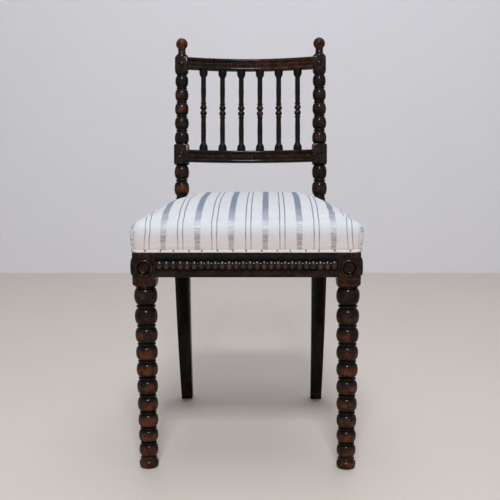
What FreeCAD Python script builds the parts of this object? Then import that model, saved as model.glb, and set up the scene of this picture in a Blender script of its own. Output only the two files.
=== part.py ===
import FreeCAD
import Part
import Sketcher
import math
import os

# Bobbin turned side chair with a stuffed seat.
# The frame is in millimetres: +X to the right as the front is seen, +Y to the back, +Z up.
# The origin lies on the floor under the middle of the chair's box.

# Driving dimensions in millimetres; back_rake is in degrees
SIZES = {
    # Stance of the legs
    "leg_out": 180.5,
    "post_out": 150.0,
    "seat_run": 363.7,
    "show_top": 400.0,
    # Seat rails and their tenons
    "rail_height": 44.4,
    "rail_thick": 22.0,
    "rail_inset": 1.0,
    "tack_rise": 10.0,
    "tenon_reach": 20.0,
    "tenon_thick": 9.0,
    "tenon_height": 28.0,
    "tenon_wall": 1.5,
    "glue_gap": 0.1,
    # Front legs
    "block_width": 41.0,
    "block_height": 62.0,
    "stub_bevel": 6.0,
    "top_bobbin": 41.5,
    "low_bobbin": 35.6,
    "leg_neck": 31.0,
    "leg_collar": 35.0,
    "foot_width": 35.0,
    "foot_height": 14.5,
    "foot_round": 4.0,
    # Split turned moulding on the front rail
    "bead_width": 19.5,
    "bead_neck": 14.8,
    "bead_middle_up": 22.4,
    "bead_sunk": 4.0,
    # Roundels on the front blocks
    "roundel_width": 33.0,
    "roundel_rise": 4.2,
    "roundel_up": 16.4,
    "spigot_width": 7.0,
    "spigot_reach": 5.0,
    # Rear posts, from the floor to the finial
    "post_width": 33.0,
    "knee_height": 340.0,
    "bend_margin": 2.0,
    "splay_out": 48.3,
    "toe_width": 24.5,
    "toe_depth": 24.0,
    "toe_lean": 1.5,
    "back_rake": 8.57,
    "seat_stub": 53.0,
    "low_turning": 71.7,
    "lower_block": 44.4,
    "lower_block_width": 31.5,
    "high_turning": 155.6,
    "crest_block": 35.0,
    "crest_block_width": 27.6,
    "post_neck": 24.0,
    "low_post_bobbin": 32.4,
    "high_post_bobbin": 28.2,
    "finial_neck": 16.0,
    "finial_stem": 16.0,
    "ball_width": 25.8,
    # Back rails, spindles and buttons
    "crest_height": 25.3,
    "crest_low": 8.0,
    "lower_rail_height": 26.1,
    "lower_rail_low": 5.6,
    "back_rail_thick": 16.0,
    "back_bow": 22.0,
    "back_rail_forward": 3.0,
    "reed_rise": 1.6,
    "reed_height": 7.0,
    "back_tenon_reach": 9.0,
    "back_tenon_thick": 6.0,
    "back_tenon_height": 15.0,
    "spindle_spacing": 41.2,
    "spindle_end": 17.0,
    "spindle_shaft": 10.0,
    "spindle_bead": 13.8,
    "spindle_pin": 7.0,
    "spindle_pin_reach": 7.0,
    "button_width": 9.0,
    "button_rise": 2.6,
    "button_pin": 4.0,
    "button_pin_reach": 4.0,
    # Corner blocks and their screws
    "corner_height": 30.0,
    "corner_drop": 6.0,
    "corner_run": 36.0,
    "screw_width": 4.0,
    "screw_tip": 3.0,
    "screw_head": 8.0,
    "screw_head_high": 2.5,
    "screw_bite": 13.0,
    "screw_cover": 10.0,
    "screw_apart": 12.0,
    # Upholstery
    "strap_width": 50.0,
    "strap_thick": 1.5,
    "strap_spacing": 84.0,
    "strap_end": 5.0,
    "hessian_thick": 1.0,
    "hessian_inset": 3.0,
    "soft_gap": 0.3,
    "cover_thick": 2.0,
    "seat_side_high": 40.0,
    "seat_edge_high": 46.0,
    "crown_rise": 36.0,
    "shoulder_run": 62.0,
    "corner_draw": 5.0,
    "first_stuffing_high": 49.0,
    # How far a cutting tool runs past the face that it enters
    "overrun": 2.0,
}

# Counts of repeated features, and of the flats round turned work
BOBBIN_COUNT = 10
MOULDING_BEADS = 26
SPINDLE_COUNT = 6
STRAP_COUNT = 3
LEG_FLAT_COUNT = 16
POST_FLAT_COUNT = 12
SPINDLE_FLAT_COUNT = 8
BEAD_FLAT_COUNT = 12
SCREW_FLAT_COUNT = 6
# Chords in place of each arc of the seat's hidden lining and stuffing
LINING_CHORD_COUNT = 2

# Middles of bobbins, up from the low end, as shares of the turning that they are cut from
LEG_BOBBIN_SHARES = (0.099, 0.18, 0.264, 0.356, 0.45, 0.546, 0.638, 0.735, 0.836, 0.946)
LOW_POST_BOBBIN_SHARES = (0.27, 0.766)
HIGH_POST_BOBBIN_SHARES = (0.087, 0.295, 0.493, 0.691, 0.886)
# The part of its pitch that a bobbin fills, and its outline in shares of half its height and of its swell
BOBBIN_FILL_SHARE = 0.8
BOBBIN_LEVEL_SHARES = (-1.0, -0.68, 0.0, 0.68, 1.0)
BOBBIN_SWELL_SHARES = (0.0, 0.72, 1.0, 0.72, 0.0)
# Outline of one moulding bead in shares of half its pitch and of its swell
BEAD_LEVEL_SHARES = (-1.0, -0.45, 0.45)
BEAD_SWELL_SHARES = (0.0, 1.0, 1.0)
# Outlines of a roundel and of a button in shares of radius and of rise, from the rim inwards
ROUNDEL_RADIUS_SHARES = (1.0, 0.9, 0.74, 0.3)
ROUNDEL_RISE_SHARES = (0.45, 1.0, 0.42, 0.95)
BUTTON_RADIUS_SHARES = (1.0, 0.6)
BUTTON_RISE_SHARES = (0.4, 1.0)
# The finial: its cove in shares of stem height and block width, and the ball's latitudes in quarter turns
COVE_LEVEL_SHARES = (0.0, 0.3)
COVE_WIDTH_SHARES = (0.94, 0.86)
COVE_END_SHARE = 0.55
BALL_LATITUDE_SHARES = (-0.58, -0.31, 0.0, 0.31, 0.6, 0.87)
# Half a spindle from its middle: levels as shares of half its length, and the widths there
SPINDLE_LEVEL_SHARES = (0.0, 0.037, 0.105, 0.137, 0.168, 0.2, 0.805, 0.931, 1.0)
SPINDLE_WIDTHS = ("shaft", "bead", "bead", "shaft", "fillet", "shaft", "shaft", "end", "end")
SPINDLE_FILLET_SHARE = 1.2
# Seat stations as shares of its depth, with the shares of crown rise and of corner draw there
SEAT_DEPTH_SHARES = (0.0, 0.03, 0.12, 0.3, 0.5, 0.7, 0.9, 1.0)
SEAT_CROWN_SHARES = (0.0, 0.24, 0.52, 0.85, 1.0, 0.9, 0.5, 0.1)
SEAT_DRAW_SHARES = (1.0, 0.2, 0.0, 0.0, 0.0, 0.0, 0.0, 0.0)
SIDE_FOLLOW_SHARE = 0.12
SHOULDER_RUN_SHARE = 0.26
SHOULDER_RISE_SHARE = 0.6
SHOULDER_TOP_SHARE = 0.8

# Places worked out from the driving dimensions, as formulas of a second sheet
PLACES = {
    "block_half": "Sizes.block_width / 2",
    "post_half": "Sizes.post_width / 2",
    "rail_face": "block_half - Sizes.rail_inset",
    "front_reach": "rail_face - Sizes.bead_sunk + Sizes.bead_width / 2",
    "lower_block_up": "Sizes.seat_stub + Sizes.low_turning",
    "high_turning_up": "lower_block_up + Sizes.lower_block",
    "crest_block_up": "high_turning_up + Sizes.high_turning",
    "finial_up": "crest_block_up + Sizes.crest_block",
    "crest_up": "crest_block_up + Sizes.crest_low",
    "crest_top": "crest_up + Sizes.crest_height",
    "crest_back": "Sizes.back_bow - Sizes.back_rail_forward + Sizes.back_rail_thick / 2",
    "rake_reach": "crest_top * sin(Sizes.back_rake * 1 deg) + crest_back * cos(Sizes.back_rake * 1 deg)",
    "back_reach": "Sizes.seat_run + rake_reach",
    "leg_y": "(front_reach - back_reach) / 2",
    "post_y": "leg_y + Sizes.seat_run",
    "rail_low": "Sizes.show_top - Sizes.rail_height",
    "strip_top": "Sizes.show_top + Sizes.tack_rise",
    "bend_up": "strip_top + Sizes.bend_margin",
    "stub_low": "-post_half * tan(Sizes.back_rake * 1 deg)",
    "block_low": "Sizes.show_top - Sizes.block_height",
    "roundel_z": "rail_low + Sizes.roundel_up",
    "bead_z": "rail_low + Sizes.bead_middle_up",
    "bead_half": "Sizes.bead_width / 2 + Sizes.glue_gap",
    "tenon_low": "rail_low + (Sizes.rail_height - Sizes.tenon_height) / 2",
    "tenon_top": "tenon_low + Sizes.tenon_height",
    "front_face_y": "leg_y - rail_face",
    "front_inner_y": "front_face_y + Sizes.rail_thick",
    "front_tenon_y": "front_face_y + (Sizes.rail_thick - Sizes.tenon_thick) / 2",
    "side_tenon_y": "front_tenon_y + Sizes.tenon_thick + Sizes.tenon_wall",
    "rear_tenon_y": "post_y - Sizes.tenon_thick / 2",
    "leg_inner": "Sizes.leg_out - block_half",
    "leg_outer": "Sizes.leg_out + block_half",
    "leg_front": "leg_y - block_half",
    "leg_back": "leg_y + block_half",
    "post_inner": "Sizes.post_out - post_half",
    "post_outer": "Sizes.post_out + post_half",
    "post_front": "post_y - post_half",
    "post_back": "post_y + post_half",
    "side_front_out": "Sizes.leg_out + rail_face",
    "side_back_out": "post_outer - Sizes.rail_inset",
    "side_front_in": "side_front_out - Sizes.rail_thick",
    "side_back_in": "side_back_out - Sizes.rail_thick",
    "side_slope": "(side_front_out - side_back_out) / (post_front - leg_back)",
    "side_tenon_in": "(Sizes.rail_thick + Sizes.tenon_thick) / 2",
    "rear_inner_y": "post_y - Sizes.rail_thick / 2",
    "rear_outer_y": "post_y + Sizes.rail_thick / 2",
    "toe_inner": "post_inner + Sizes.toe_lean",
    "toe_front": "post_y + Sizes.splay_out - Sizes.toe_depth / 2",
    "toe_back": "toe_front + Sizes.toe_depth",
    "front_bow": "((toe_front - post_front) ^ 2 + Sizes.knee_height ^ 2) / (2 * (toe_front - post_front))",
    "back_bow": "((toe_back - post_back) ^ 2 + Sizes.knee_height ^ 2) / (2 * (toe_back - post_back))",
    "lower_rail_up": "lower_block_up + Sizes.lower_rail_low",
    "spindle_up": "lower_rail_up + Sizes.lower_rail_height",
    "crest_half": "Sizes.post_out - Sizes.crest_block_width / 2",
    "lower_half": "Sizes.post_out - Sizes.lower_block_width / 2",
    "bow_radius": "(crest_half ^ 2 + Sizes.back_bow ^ 2) / (2 * Sizes.back_bow)",
    "bow_middle_y": "Sizes.back_bow - Sizes.back_rail_forward - bow_radius",
    "corner_z": "rail_low + Sizes.corner_drop",
    "cloth_low": "strip_top + 2 * Sizes.strap_thick",
    "pad_low": "cloth_low + Sizes.hessian_thick + Sizes.soft_gap",
    "first_stuffing_top": "Sizes.show_top + Sizes.first_stuffing_high",
    "crown_top": "Sizes.show_top + Sizes.seat_edge_high + Sizes.crown_rise",
}

OUT = "parts"
QUARTER_TURN = math.degrees(math.pi / 2)
SIGNS = {"left": -1, "right": 1}

DOC = FreeCAD.newDocument("bobbin_side_chair")
NODES = {}


# Sheets of sizes and places
def fill_sheet(name, cells):
    sheet = DOC.addObject("Spreadsheet::Sheet", name)
    for row, (alias, content) in enumerate(cells.items(), start=1):
        sheet.set(f"A{row}", alias)
        sheet.set(f"B{row}", str(content))
        sheet.setAlias(f"B{row}", alias)
    DOC.recompute()
    return sheet


SIZE_SHEET = fill_sheet("Sizes", SIZES)
PLACE_SHEET = fill_sheet("Places", {alias: "=" + rule for alias, rule in PLACES.items()})


def size(alias):
    return float(getattr(SIZE_SHEET, alias))


def place(alias):
    return float(getattr(PLACE_SHEET, alias))


def worth(formula):
    return float(PLACE_SHEET.evalExpression(formula))


def bind(obj, **formulas):
    for name, formula in formulas.items():
        obj.setExpression(name, formula)
    return obj


def sits_at(obj, spot):
    """Ties an object's position to three formulas."""
    for axis, formula in zip("xyz", spot):
        obj.setExpression(f"Placement.Base.{axis}", formula)
    return obj


def mirrored(sign, low, high):
    """A span given on the right, or its mirror image on the left."""
    return (low, high) if sign > 0 else (f"-({high})", f"-({low})")


def keep(node, obj):
    obj.Label = node
    NODES[node] = obj
    return obj


# Sketched prisms in bodies
def new_body(name):
    return DOC.addObject("PartDesign::Body", name)


def arc_middle(start, end, radius, bulge):
    """The point halfway along an arc; bulge is 1 where it swells to the left of its way, or -1."""
    chord = end - start
    rise = radius - math.sqrt(radius**2 - (chord.Length / 2) ** 2)
    leftward = FreeCAD.Vector(-chord.y, chord.x, 0).normalize()
    return (start + end) * (1 / 2) + leftward * (rise * bulge)


def outline_sketch(body, name, role, corners, level, arcs):
    """A closed outline tied to the origin: corners are formulas, arcs maps a side to radius and bulge."""
    sketch = body.newObject("Sketcher::SketchObject", name)
    plane = next(item for item in body.Origin.OriginFeatures if item.Role == role)
    sketch.AttachmentSupport = [(plane, "")]
    sketch.MapMode = "FlatFace"
    sketch.setExpression("AttachmentOffset.Base.z", level)
    spots = [FreeCAD.Vector(worth(across), worth(along), 0) for across, along in corners]
    starts = []
    for side, start in enumerate(spots):
        end = spots[(side + 1) % len(spots)]
        if side in arcs:
            radius, bulge = arcs[side]
            sketch.addGeometry(Part.Arc(start, arc_middle(start, end, worth(radius), bulge), end))
            tie = sketch.addConstraint(Sketcher.Constraint("Radius", side, worth(radius)))
            sketch.setExpression(f"Constraints[{tie}]", radius)
        else:
            sketch.addGeometry(Part.LineSegment(start, end))
        away = [sketch.getPoint(side, which).distanceToPoint(start) for which in (1, 2)]
        starts.append(1 if away[0] < away[1] else 2)
    for side, (across, along) in enumerate(corners):
        before = (side - 1) % len(corners)
        meeting = (before, 3 - starts[before], side, starts[side])
        sketch.addConstraint(Sketcher.Constraint("Coincident", *meeting))
        for kind, formula in (("DistanceX", across), ("DistanceY", along)):
            tie = sketch.addConstraint(
                Sketcher.Constraint(kind, -1, 1, side, starts[side], worth(formula))
            )
            sketch.setExpression(f"Constraints[{tie}]", formula)
    return sketch


def pad(body, name, role, corners, level, length, arcs=None):
    solid = body.newObject("PartDesign::Pad", name)
    solid.Profile = outline_sketch(body, name + "_outline", role, corners, level, arcs or {})
    return bind(solid, Length=length)


def rectangle(across, along):
    return [
        (across[0], along[0]),
        (across[1], along[0]),
        (across[1], along[1]),
        (across[0], along[1]),
    ]


# Part primitives and booleans
def box(name, across, back, up):
    """A box between pairs of formulas along X, Y and Z."""
    solid = DOC.addObject("Part::Box", name)
    lengths = [f"({high}) - ({low})" for low, high in (across, back, up)]
    bind(solid, Length=lengths[0], Width=lengths[1], Height=lengths[2])
    return sits_at(solid, (across[0], back[0], up[0]))


def peg(name, flats, radius, length, spot, turn=None):
    """A prism of so many flats that stands on its spot and points up, or where turn says."""
    solid = DOC.addObject("Part::Prism", name)
    solid.Polygon = flats
    if turn is not None:
        solid.Placement.Rotation = turn
    bind(solid, Circumradius=radius, Height=length)
    return sits_at(solid, spot)


def fuse(name, shapes):
    joined = DOC.addObject("Part::MultiFuse", name)
    joined.Shapes = shapes
    return joined


def group(name, links):
    gathered = DOC.addObject("Part::Compound", name)
    gathered.Links = links
    return gathered


def cut(name, base, tools):
    taken = DOC.addObject("Part::Cut", name)
    taken.Base = base
    taken.Tool = tools[0] if len(tools) == 1 else group(name + "_tools", tools)
    return taken


def common(name, base, tool):
    shared = DOC.addObject("Part::Common", name)
    shared.Base = base
    shared.Tool = tool
    return shared


def feature(name, shape, placement=None):
    held = DOC.addObject("Part::Feature", name)
    held.Shape = shape
    if placement is not None:
        held.Placement = placement
    return held


# Frames of what stands on a slanted or an upright face
def facing_front():
    return FreeCAD.Rotation(FreeCAD.Vector(1, 0, 0), QUARTER_TURN)


def facing_back():
    return FreeCAD.Rotation(FreeCAD.Vector(1, 0, 0), -QUARTER_TURN)


def facing_side(sign):
    return FreeCAD.Rotation(FreeCAD.Vector(0, 1, 0), sign * QUARTER_TURN)


def back_frame(across=0.0):
    """The raked frame of the back: its Z runs up along the posts from the bend above the seat rails."""
    foot = FreeCAD.Vector(across, place("post_y"), place("bend_up"))
    return FreeCAD.Placement(foot, FreeCAD.Rotation(FreeCAD.Vector(1, 0, 0), -size("back_rake")))


# Turned work
def flat_face(points):
    return Part.Face(Part.makePolygon(points + points[:1]))


def turned(stations, flats, half=False):
    """Flats round Z through (height, radius) stations. A half turning swells to -Y and has a flat back."""
    steps = flats // 2 if half else flats
    count = steps + 1 if half else steps
    start = -math.pi if half else 0.0
    angles = [start + math.tau * index / flats for index in range(count)]
    rings = [
        [FreeCAD.Vector(radius * math.cos(angle), radius * math.sin(angle), height) for angle in angles]
        for height, radius in stations
    ]
    faces = [flat_face(rings[0]), flat_face(rings[-1])]
    for low, high in zip(rings, rings[1:]):
        for index in range(steps):
            after = (index + 1) % count
            faces.append(flat_face([low[index], low[after], high[after], high[index]]))
    if half:
        faces.append(flat_face([ring[0] for ring in rings] + [ring[-1] for ring in reversed(rings)]))
    solid = Part.Solid(Part.Shell(faces))
    if solid.Volume < 0:
        solid.reverse()
    return solid


def even_steps(first, last, count):
    return [first + (last - first) * index / (count - 1) for index in range(count)]


def bobbin_run(length, shares, widths, neck):
    """Stations of a row of bobbins from low to high, with a plain groove between them."""
    middles = [length * share for share in shares]
    pitches = [high - low for low, high in zip(middles, middles[1:])]
    inner = [(low + high) / 2 for low, high in zip(pitches, pitches[1:])]
    halves = [pitch * BOBBIN_FILL_SHARE / 2 for pitch in [pitches[0], *inner, pitches[-1]]]
    stations = []
    for middle, width, half in zip(middles, widths, halves):
        for level, share in zip(BOBBIN_LEVEL_SHARES, BOBBIN_SWELL_SHARES):
            stations.append((middle + half * level, (neck + (width - neck) * share) / 2))
    return stations


def knob(pin_width, pin_reach, width, rise, radius_shares, rise_shares, flats):
    """A flat turned ornament on a spigot, with its back at height zero."""
    pin = [(-pin_reach, pin_width / 2), (0.0, pin_width / 2), (0.0, width / 2)]
    face = [(rise * up, width / 2 * out) for up, out in zip(rise_shares, radius_shares)]
    return turned(pin + face, flats)


# Front legs
def leg_turning():
    """The ten bobbins and the small bun foot, from the floor to the underside of the block."""
    length = place("block_low")
    widths = even_steps(size("low_bobbin"), size("top_bobbin"), BOBBIN_COUNT)
    run = bobbin_run(length, LEG_BOBBIN_SHARES, widths, size("leg_neck"))
    foot = size("foot_width") / 2
    toe = size("foot_round")
    bun = [(0.0, foot - toe), (toe, foot), (size("foot_height") - toe, foot)]
    ankle = [(size("foot_height"), size("leg_neck") / 2)]
    return turned(bun + ankle + run + [(length, size("leg_collar") / 2)], LEG_FLAT_COUNT)


def front_tenon(name, sign, gap):
    """The mortise that takes the front rail's tenon with a gap all round."""
    return box(
        name,
        mirrored(
            sign,
            "Places.leg_inner - Sizes.overrun",
            f"Places.leg_inner + Sizes.tenon_reach + {gap}",
        ),
        (f"Places.front_tenon_y - {gap}", f"Places.front_tenon_y + Sizes.tenon_thick + {gap}"),
        (f"Places.tenon_low - {gap}", f"Places.tenon_top + {gap}"),
    )


def side_tenon_across(sign, outer, gap):
    low = f"{outer} - Places.side_tenon_in - {gap}"
    high = f"{outer} - Places.side_tenon_in + Sizes.tenon_thick + {gap}"
    return mirrored(sign, low, high)


def front_leg(side):
    """A square block with mortises for two rails and holes for two roundels, over the turning."""
    sign = SIGNS[side]
    name = f"front_leg_{side}"
    block = box(
        name + "_block",
        mirrored(sign, "Places.leg_inner", "Places.leg_outer"),
        ("Places.leg_front", "Places.leg_back"),
        ("Places.block_low", "Sizes.show_top"),
    )
    stub = new_body(name + "_tack_stub")
    bevel_in = "Places.side_front_out - Sizes.stub_bevel"
    bevel_back = "Places.front_face_y + 2 * Sizes.stub_bevel"
    corners = [
        ("Places.leg_inner", "Places.front_face_y"),
        (bevel_in, "Places.front_face_y"),
        ("Places.side_front_out", bevel_back),
        ("Places.side_front_out", "Places.leg_back"),
        ("Places.leg_inner", "Places.leg_back"),
    ]
    corners = [(f"{sign} * ({across})", along) for across, along in corners]
    pad(stub, name + "_stub_pad", "XY_Plane", corners, "Sizes.show_top", "Sizes.tack_rise")
    turning = feature(name + "_turning", leg_turning())
    sits_at(turning, (f"{sign} * Sizes.leg_out", "Places.leg_y", "0"))
    depth = "(Sizes.spigot_reach + Sizes.glue_gap)"
    hole = ("Sizes.spigot_width / 2 + Sizes.glue_gap", f"{depth} + Sizes.overrun")
    front_spot = (f"{sign} * Sizes.leg_out", f"Places.leg_front + {depth}", "Places.roundel_z")
    side_spot = (f"{sign} * (Places.leg_outer - {depth})", "Places.leg_y", "Places.roundel_z")
    tools = [
        front_tenon(name + "_front_mortise", sign, "Sizes.glue_gap"),
        box(
            name + "_side_mortise",
            side_tenon_across(sign, "Places.side_front_out", "Sizes.glue_gap"),
            ("Places.side_tenon_y - Sizes.glue_gap", "Places.leg_back + Sizes.overrun"),
            ("Places.tenon_low - Sizes.glue_gap", "Places.tenon_top + Sizes.glue_gap"),
        ),
        peg(name + "_front_hole", LEG_FLAT_COUNT, *hole, front_spot, facing_front()),
        peg(name + "_side_hole", LEG_FLAT_COUNT, *hole, side_spot, facing_side(sign)),
    ]
    keep(name, cut(name, fuse(name + "_solid", [block, stub, turning]), tools))


def roundels(side):
    """The turned roundels on the front and outer faces of a front block."""
    sign = SIGNS[side]
    sizes = [size(key) for key in ("spigot_width", "spigot_reach", "roundel_width", "roundel_rise")]
    shape = knob(*sizes, ROUNDEL_RADIUS_SHARES, ROUNDEL_RISE_SHARES, LEG_FLAT_COUNT)
    front = FreeCAD.Vector(sign * size("leg_out"), place("leg_front"), place("roundel_z"))
    outer = FreeCAD.Vector(sign * place("leg_outer"), place("leg_y"), place("roundel_z"))
    for face, spot, turn in (("front", front, facing_front()), ("side", outer, facing_side(sign))):
        node = f"{face}_roundel_{side}"
        keep(node, feature(node, shape, FreeCAD.Placement(spot, turn)))


# Seat rails, with tenons at both ends
def front_rail():
    """The front rail, with a sunk channel along its face for the turned moulding."""
    body = new_body("front_rail_body")
    channel_y = "Places.front_face_y + Sizes.bead_sunk"
    channel_low = "Places.bead_z - Places.bead_half"
    channel_high = "Places.bead_z + Places.bead_half"
    section = [
        ("Places.front_face_y", "Places.rail_low"),
        ("Places.front_inner_y", "Places.rail_low"),
        ("Places.front_inner_y", "Places.strip_top"),
        ("Places.front_face_y", "Places.strip_top"),
        ("Places.front_face_y", channel_high),
        (channel_y, channel_high),
        (channel_y, channel_low),
        ("Places.front_face_y", channel_low),
    ]
    pad(body, "front_rail_bar", "YZ_Plane", section, "-Places.leg_inner", "2 * Places.leg_inner")
    tenon_back = "Places.front_tenon_y + Sizes.tenon_thick"
    tenon = rectangle(("Places.front_tenon_y", tenon_back), ("Places.tenon_low", "Places.tenon_top"))
    reach = "(Places.leg_inner + Sizes.tenon_reach)"
    pad(body, "front_rail_tenons", "YZ_Plane", tenon, f"-{reach}", f"2 * {reach}")
    holes = [pilot_hole("front_rail", "front", side, "across") for side in SIGNS]
    keep("front_rail", cut("front_rail", body, holes))


def rear_rail():
    body = new_body("rear_rail_body")
    section = rectangle(
        ("Places.rear_inner_y", "Places.rear_outer_y"), ("Places.rail_low", "Places.strip_top")
    )
    pad(body, "rear_rail_bar", "YZ_Plane", section, "-Places.post_inner", "2 * Places.post_inner")
    tenon_back = "Places.rear_tenon_y + Sizes.tenon_thick"
    tenon = rectangle(("Places.rear_tenon_y", tenon_back), ("Places.tenon_low", "Places.tenon_top"))
    reach = "(Places.post_inner + Sizes.tenon_reach)"
    pad(body, "rear_rail_tenons", "YZ_Plane", tenon, f"-{reach}", f"2 * {reach}")
    holes = [pilot_hole("rear_rail", "rear", side, "across") for side in SIGNS]
    keep("rear_rail", cut("rear_rail", body, holes))


def side_rail(side):
    """A rail that narrows the seat to the back, with ends cut square to the chair."""
    sign = SIGNS[side]
    name = f"side_rail_{side}"
    body = new_body(name + "_body")
    plan = [
        ("Places.side_front_out", "Places.leg_back"),
        ("Places.side_back_out", "Places.post_front"),
        ("Places.side_back_in", "Places.post_front"),
        ("Places.side_front_in", "Places.leg_back"),
    ]
    plan = [(f"{sign} * ({across})", along) for across, along in plan]
    rail_high = "Places.strip_top - Places.rail_low"
    pad(body, name + "_bar", "XY_Plane", plan, "Places.rail_low", rail_high)
    ends = {
        "front": ("Places.side_front_out", "Places.side_tenon_y", "Places.leg_back + Sizes.overrun"),
        "rear": (
            "Places.side_back_out",
            "Places.post_front - Sizes.overrun",
            "Places.rear_tenon_y - Sizes.tenon_wall",
        ),
    }
    for end, (outer, low, high) in ends.items():
        tenon = rectangle(side_tenon_across(sign, outer, "0"), (low, high))
        pad(body, f"{name}_{end}_tenon", "XY_Plane", tenon, "Places.tenon_low", "Sizes.tenon_height")
    holes = [pilot_hole(name, end, side, "along") for end in ("front", "rear")]
    keep(name, cut(name, body, holes))


def front_moulding():
    """The row of half round beads, turned in one length and split, glued into the rail's channel."""
    length = 2 * (place("leg_inner") - size("glue_gap"))
    pitch = length / MOULDING_BEADS
    neck = size("bead_neck")
    stations = []
    for index in range(MOULDING_BEADS):
        for level, share in zip(BEAD_LEVEL_SHARES, BEAD_SWELL_SHARES):
            height = pitch * (index + (level + 1) / 2)
            stations.append((height, (neck + (size("bead_width") - neck) * share) / 2))
    stations.append((length, neck / 2))
    spot = FreeCAD.Vector(-length / 2, place("front_face_y") + size("bead_sunk"), place("bead_z"))
    shape = turned(stations, BEAD_FLAT_COUNT, half=True)
    moulding = feature("front_bobbin_moulding", shape, FreeCAD.Placement(spot, facing_side(1)))
    keep("front_bobbin_moulding", moulding)


# Corner blocks and their screws
def corner_spots(end):
    """The front or rear corner of the seat frame as the corners of a block's plan on the right."""
    if end == "front":
        inner, rail_y, back_y, side_in, way = (
            "Places.leg_inner",
            "Places.front_inner_y",
            "Places.leg_back",
            "Places.side_front_in",
            "1",
        )
    else:
        inner, rail_y, back_y, side_in, way = (
            "Places.post_inner",
            "Places.rear_inner_y",
            "Places.post_front",
            "Places.side_back_in",
            "-1",
        )
    far_in = f"{side_in} - {way} * Places.side_slope * Sizes.corner_run"
    return [
        (f"{inner} - Sizes.corner_run", rail_y),
        (inner, rail_y),
        (inner, back_y),
        (side_in, back_y),
        (far_in, f"{back_y} + {way} * Sizes.corner_run"),
    ]


def screw_line(end, side, run):
    """A screw's tip, as formulas, and the turn that points from the tip to its head."""
    sign = SIGNS[side]
    corners = corner_spots(end)
    middle = "Places.corner_z + Sizes.corner_height / 2"
    if run == "across":
        inner, rail_y = corners[1]
        into = "-" if end == "front" else "+"
        tip = (
            f"{sign} * ({inner} - Sizes.corner_run / 2)",
            f"{rail_y} {into} Sizes.screw_bite",
            f"{middle} + Sizes.screw_apart / 2",
        )
        return tip, facing_back() if end == "front" else facing_front()
    side_in, back_y = corners[3]
    way = "+" if end == "front" else "-"
    tip = (
        f"{sign} * ({side_in} + Sizes.screw_bite)",
        f"{back_y} {way} Sizes.corner_run / 2",
        f"{middle} - Sizes.screw_apart / 2",
    )
    return tip, facing_side(-sign)


def pilot_hole(name, end, side, run):
    tip, turn = screw_line(end, side, run)
    radius = "Sizes.screw_width / 2 + Sizes.glue_gap"
    length = "Sizes.screw_bite + Sizes.screw_cover"
    return peg(f"{name}_{end}_{side}_pilot", SCREW_FLAT_COUNT, radius, length, tip, turn)


def head_bore(name, end, side, run):
    """The wide bore for a screw's head: it starts under the head and leaves the block's slant face."""
    tip, turn = screw_line(end, side, run)
    bore = peg(
        f"{name}_{run}_bore",
        SCREW_FLAT_COUNT,
        "Sizes.screw_head / 2 + Sizes.glue_gap",
        "Sizes.corner_run",
        tip,
        turn,
    )
    out = turn.multVec(FreeCAD.Vector(0, 0, 1))
    start = "(Sizes.screw_bite + Sizes.screw_cover)"
    shifted = [f"{spot} + ({way:.0f}) * {start}" for spot, way in zip(tip, (out.x, out.y, out.z))]
    return sits_at(bore, shifted)


def corner_block(end, side):
    name = f"{end}_corner_block_{side}"
    body = new_body(name + "_body")
    plan = [(f"{SIGNS[side]} * ({across})", along) for across, along in corner_spots(end)]
    pad(body, name + "_pad", "XY_Plane", plan, "Places.corner_z", "Sizes.corner_height")
    tools = []
    for run in ("across", "along"):
        tools.append(pilot_hole(f"{name}_{run}", end, side, run))
        tools.append(head_bore(name, end, side, run))
    keep(name, cut(name, body, tools))


def corner_screws():
    shank = size("screw_width") / 2
    neck = size("screw_bite") + size("screw_cover")
    head = size("screw_head") / 2
    stations = [(0.0, shank / 2), (size("screw_tip"), shank), (neck, shank), (neck, head)]
    shape = turned(stations + [(neck + size("screw_head_high"), head)], SCREW_FLAT_COUNT)
    screws = []
    for end in ("front", "rear"):
        for side in SIGNS:
            for run in ("across", "along"):
                tip, turn = screw_line(end, side, run)
                screw = feature(f"screw_{end}_{side}_{run}", shape)
                screw.Placement.Rotation = turn
                screws.append(sits_at(screw, tip))
    keep("corner_block_screws", group("corner_block_screws", screws))


# Rear posts: sawn leg, raked stile and finial in one piece
def sawn_leg(name, sign):
    """The square leg below the bend, sawn to a sabre curve from the side and tapered from the front."""
    side_view = [
        ("Places.toe_front", "0"),
        ("Places.post_front", "Sizes.knee_height"),
        ("Places.post_front", "Places.bend_up"),
        ("Places.post_back", "Places.bend_up"),
        ("Places.post_back", "Sizes.knee_height"),
        ("Places.toe_back", "0"),
    ]
    curved = {0: ("Places.front_bow", 1), 4: ("Places.back_bow", -1)}
    from_side = new_body(name + "_from_side")
    start = f"{sign} * Sizes.post_out - Places.post_half - Sizes.overrun"
    width = "Sizes.post_width + 2 * Sizes.overrun"
    pad(from_side, name + "_side_view", "YZ_Plane", side_view, start, width, curved)
    front_view = [
        ("Places.toe_inner", "0"),
        ("Places.toe_inner + Sizes.toe_width", "0"),
        ("Places.post_outer", "Sizes.knee_height"),
        ("Places.post_outer", "Places.bend_up"),
        ("Places.post_inner", "Places.bend_up"),
        ("Places.post_inner", "Sizes.knee_height"),
    ]
    front_view = [(f"{sign} * ({across})", up) for across, up in front_view]
    from_front = new_body(name + "_from_front")
    depth = "Places.toe_back - Places.post_front + 2 * Sizes.overrun"
    level = "-(Places.toe_back + Sizes.overrun)"
    pad(from_front, name + "_front_view", "XZ_Plane", front_view, level, depth)
    return common(name + "_sawn_leg", from_side, from_front)


def post_turning(name, length, up, shares, widths):
    neck = size("post_neck")
    run = bobbin_run(length, shares, widths, neck)
    turning = feature(name, turned([(0.0, neck / 2), *run, (length, neck / 2)], POST_FLAT_COUNT))
    return sits_at(turning, ("0", "0", up))


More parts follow.
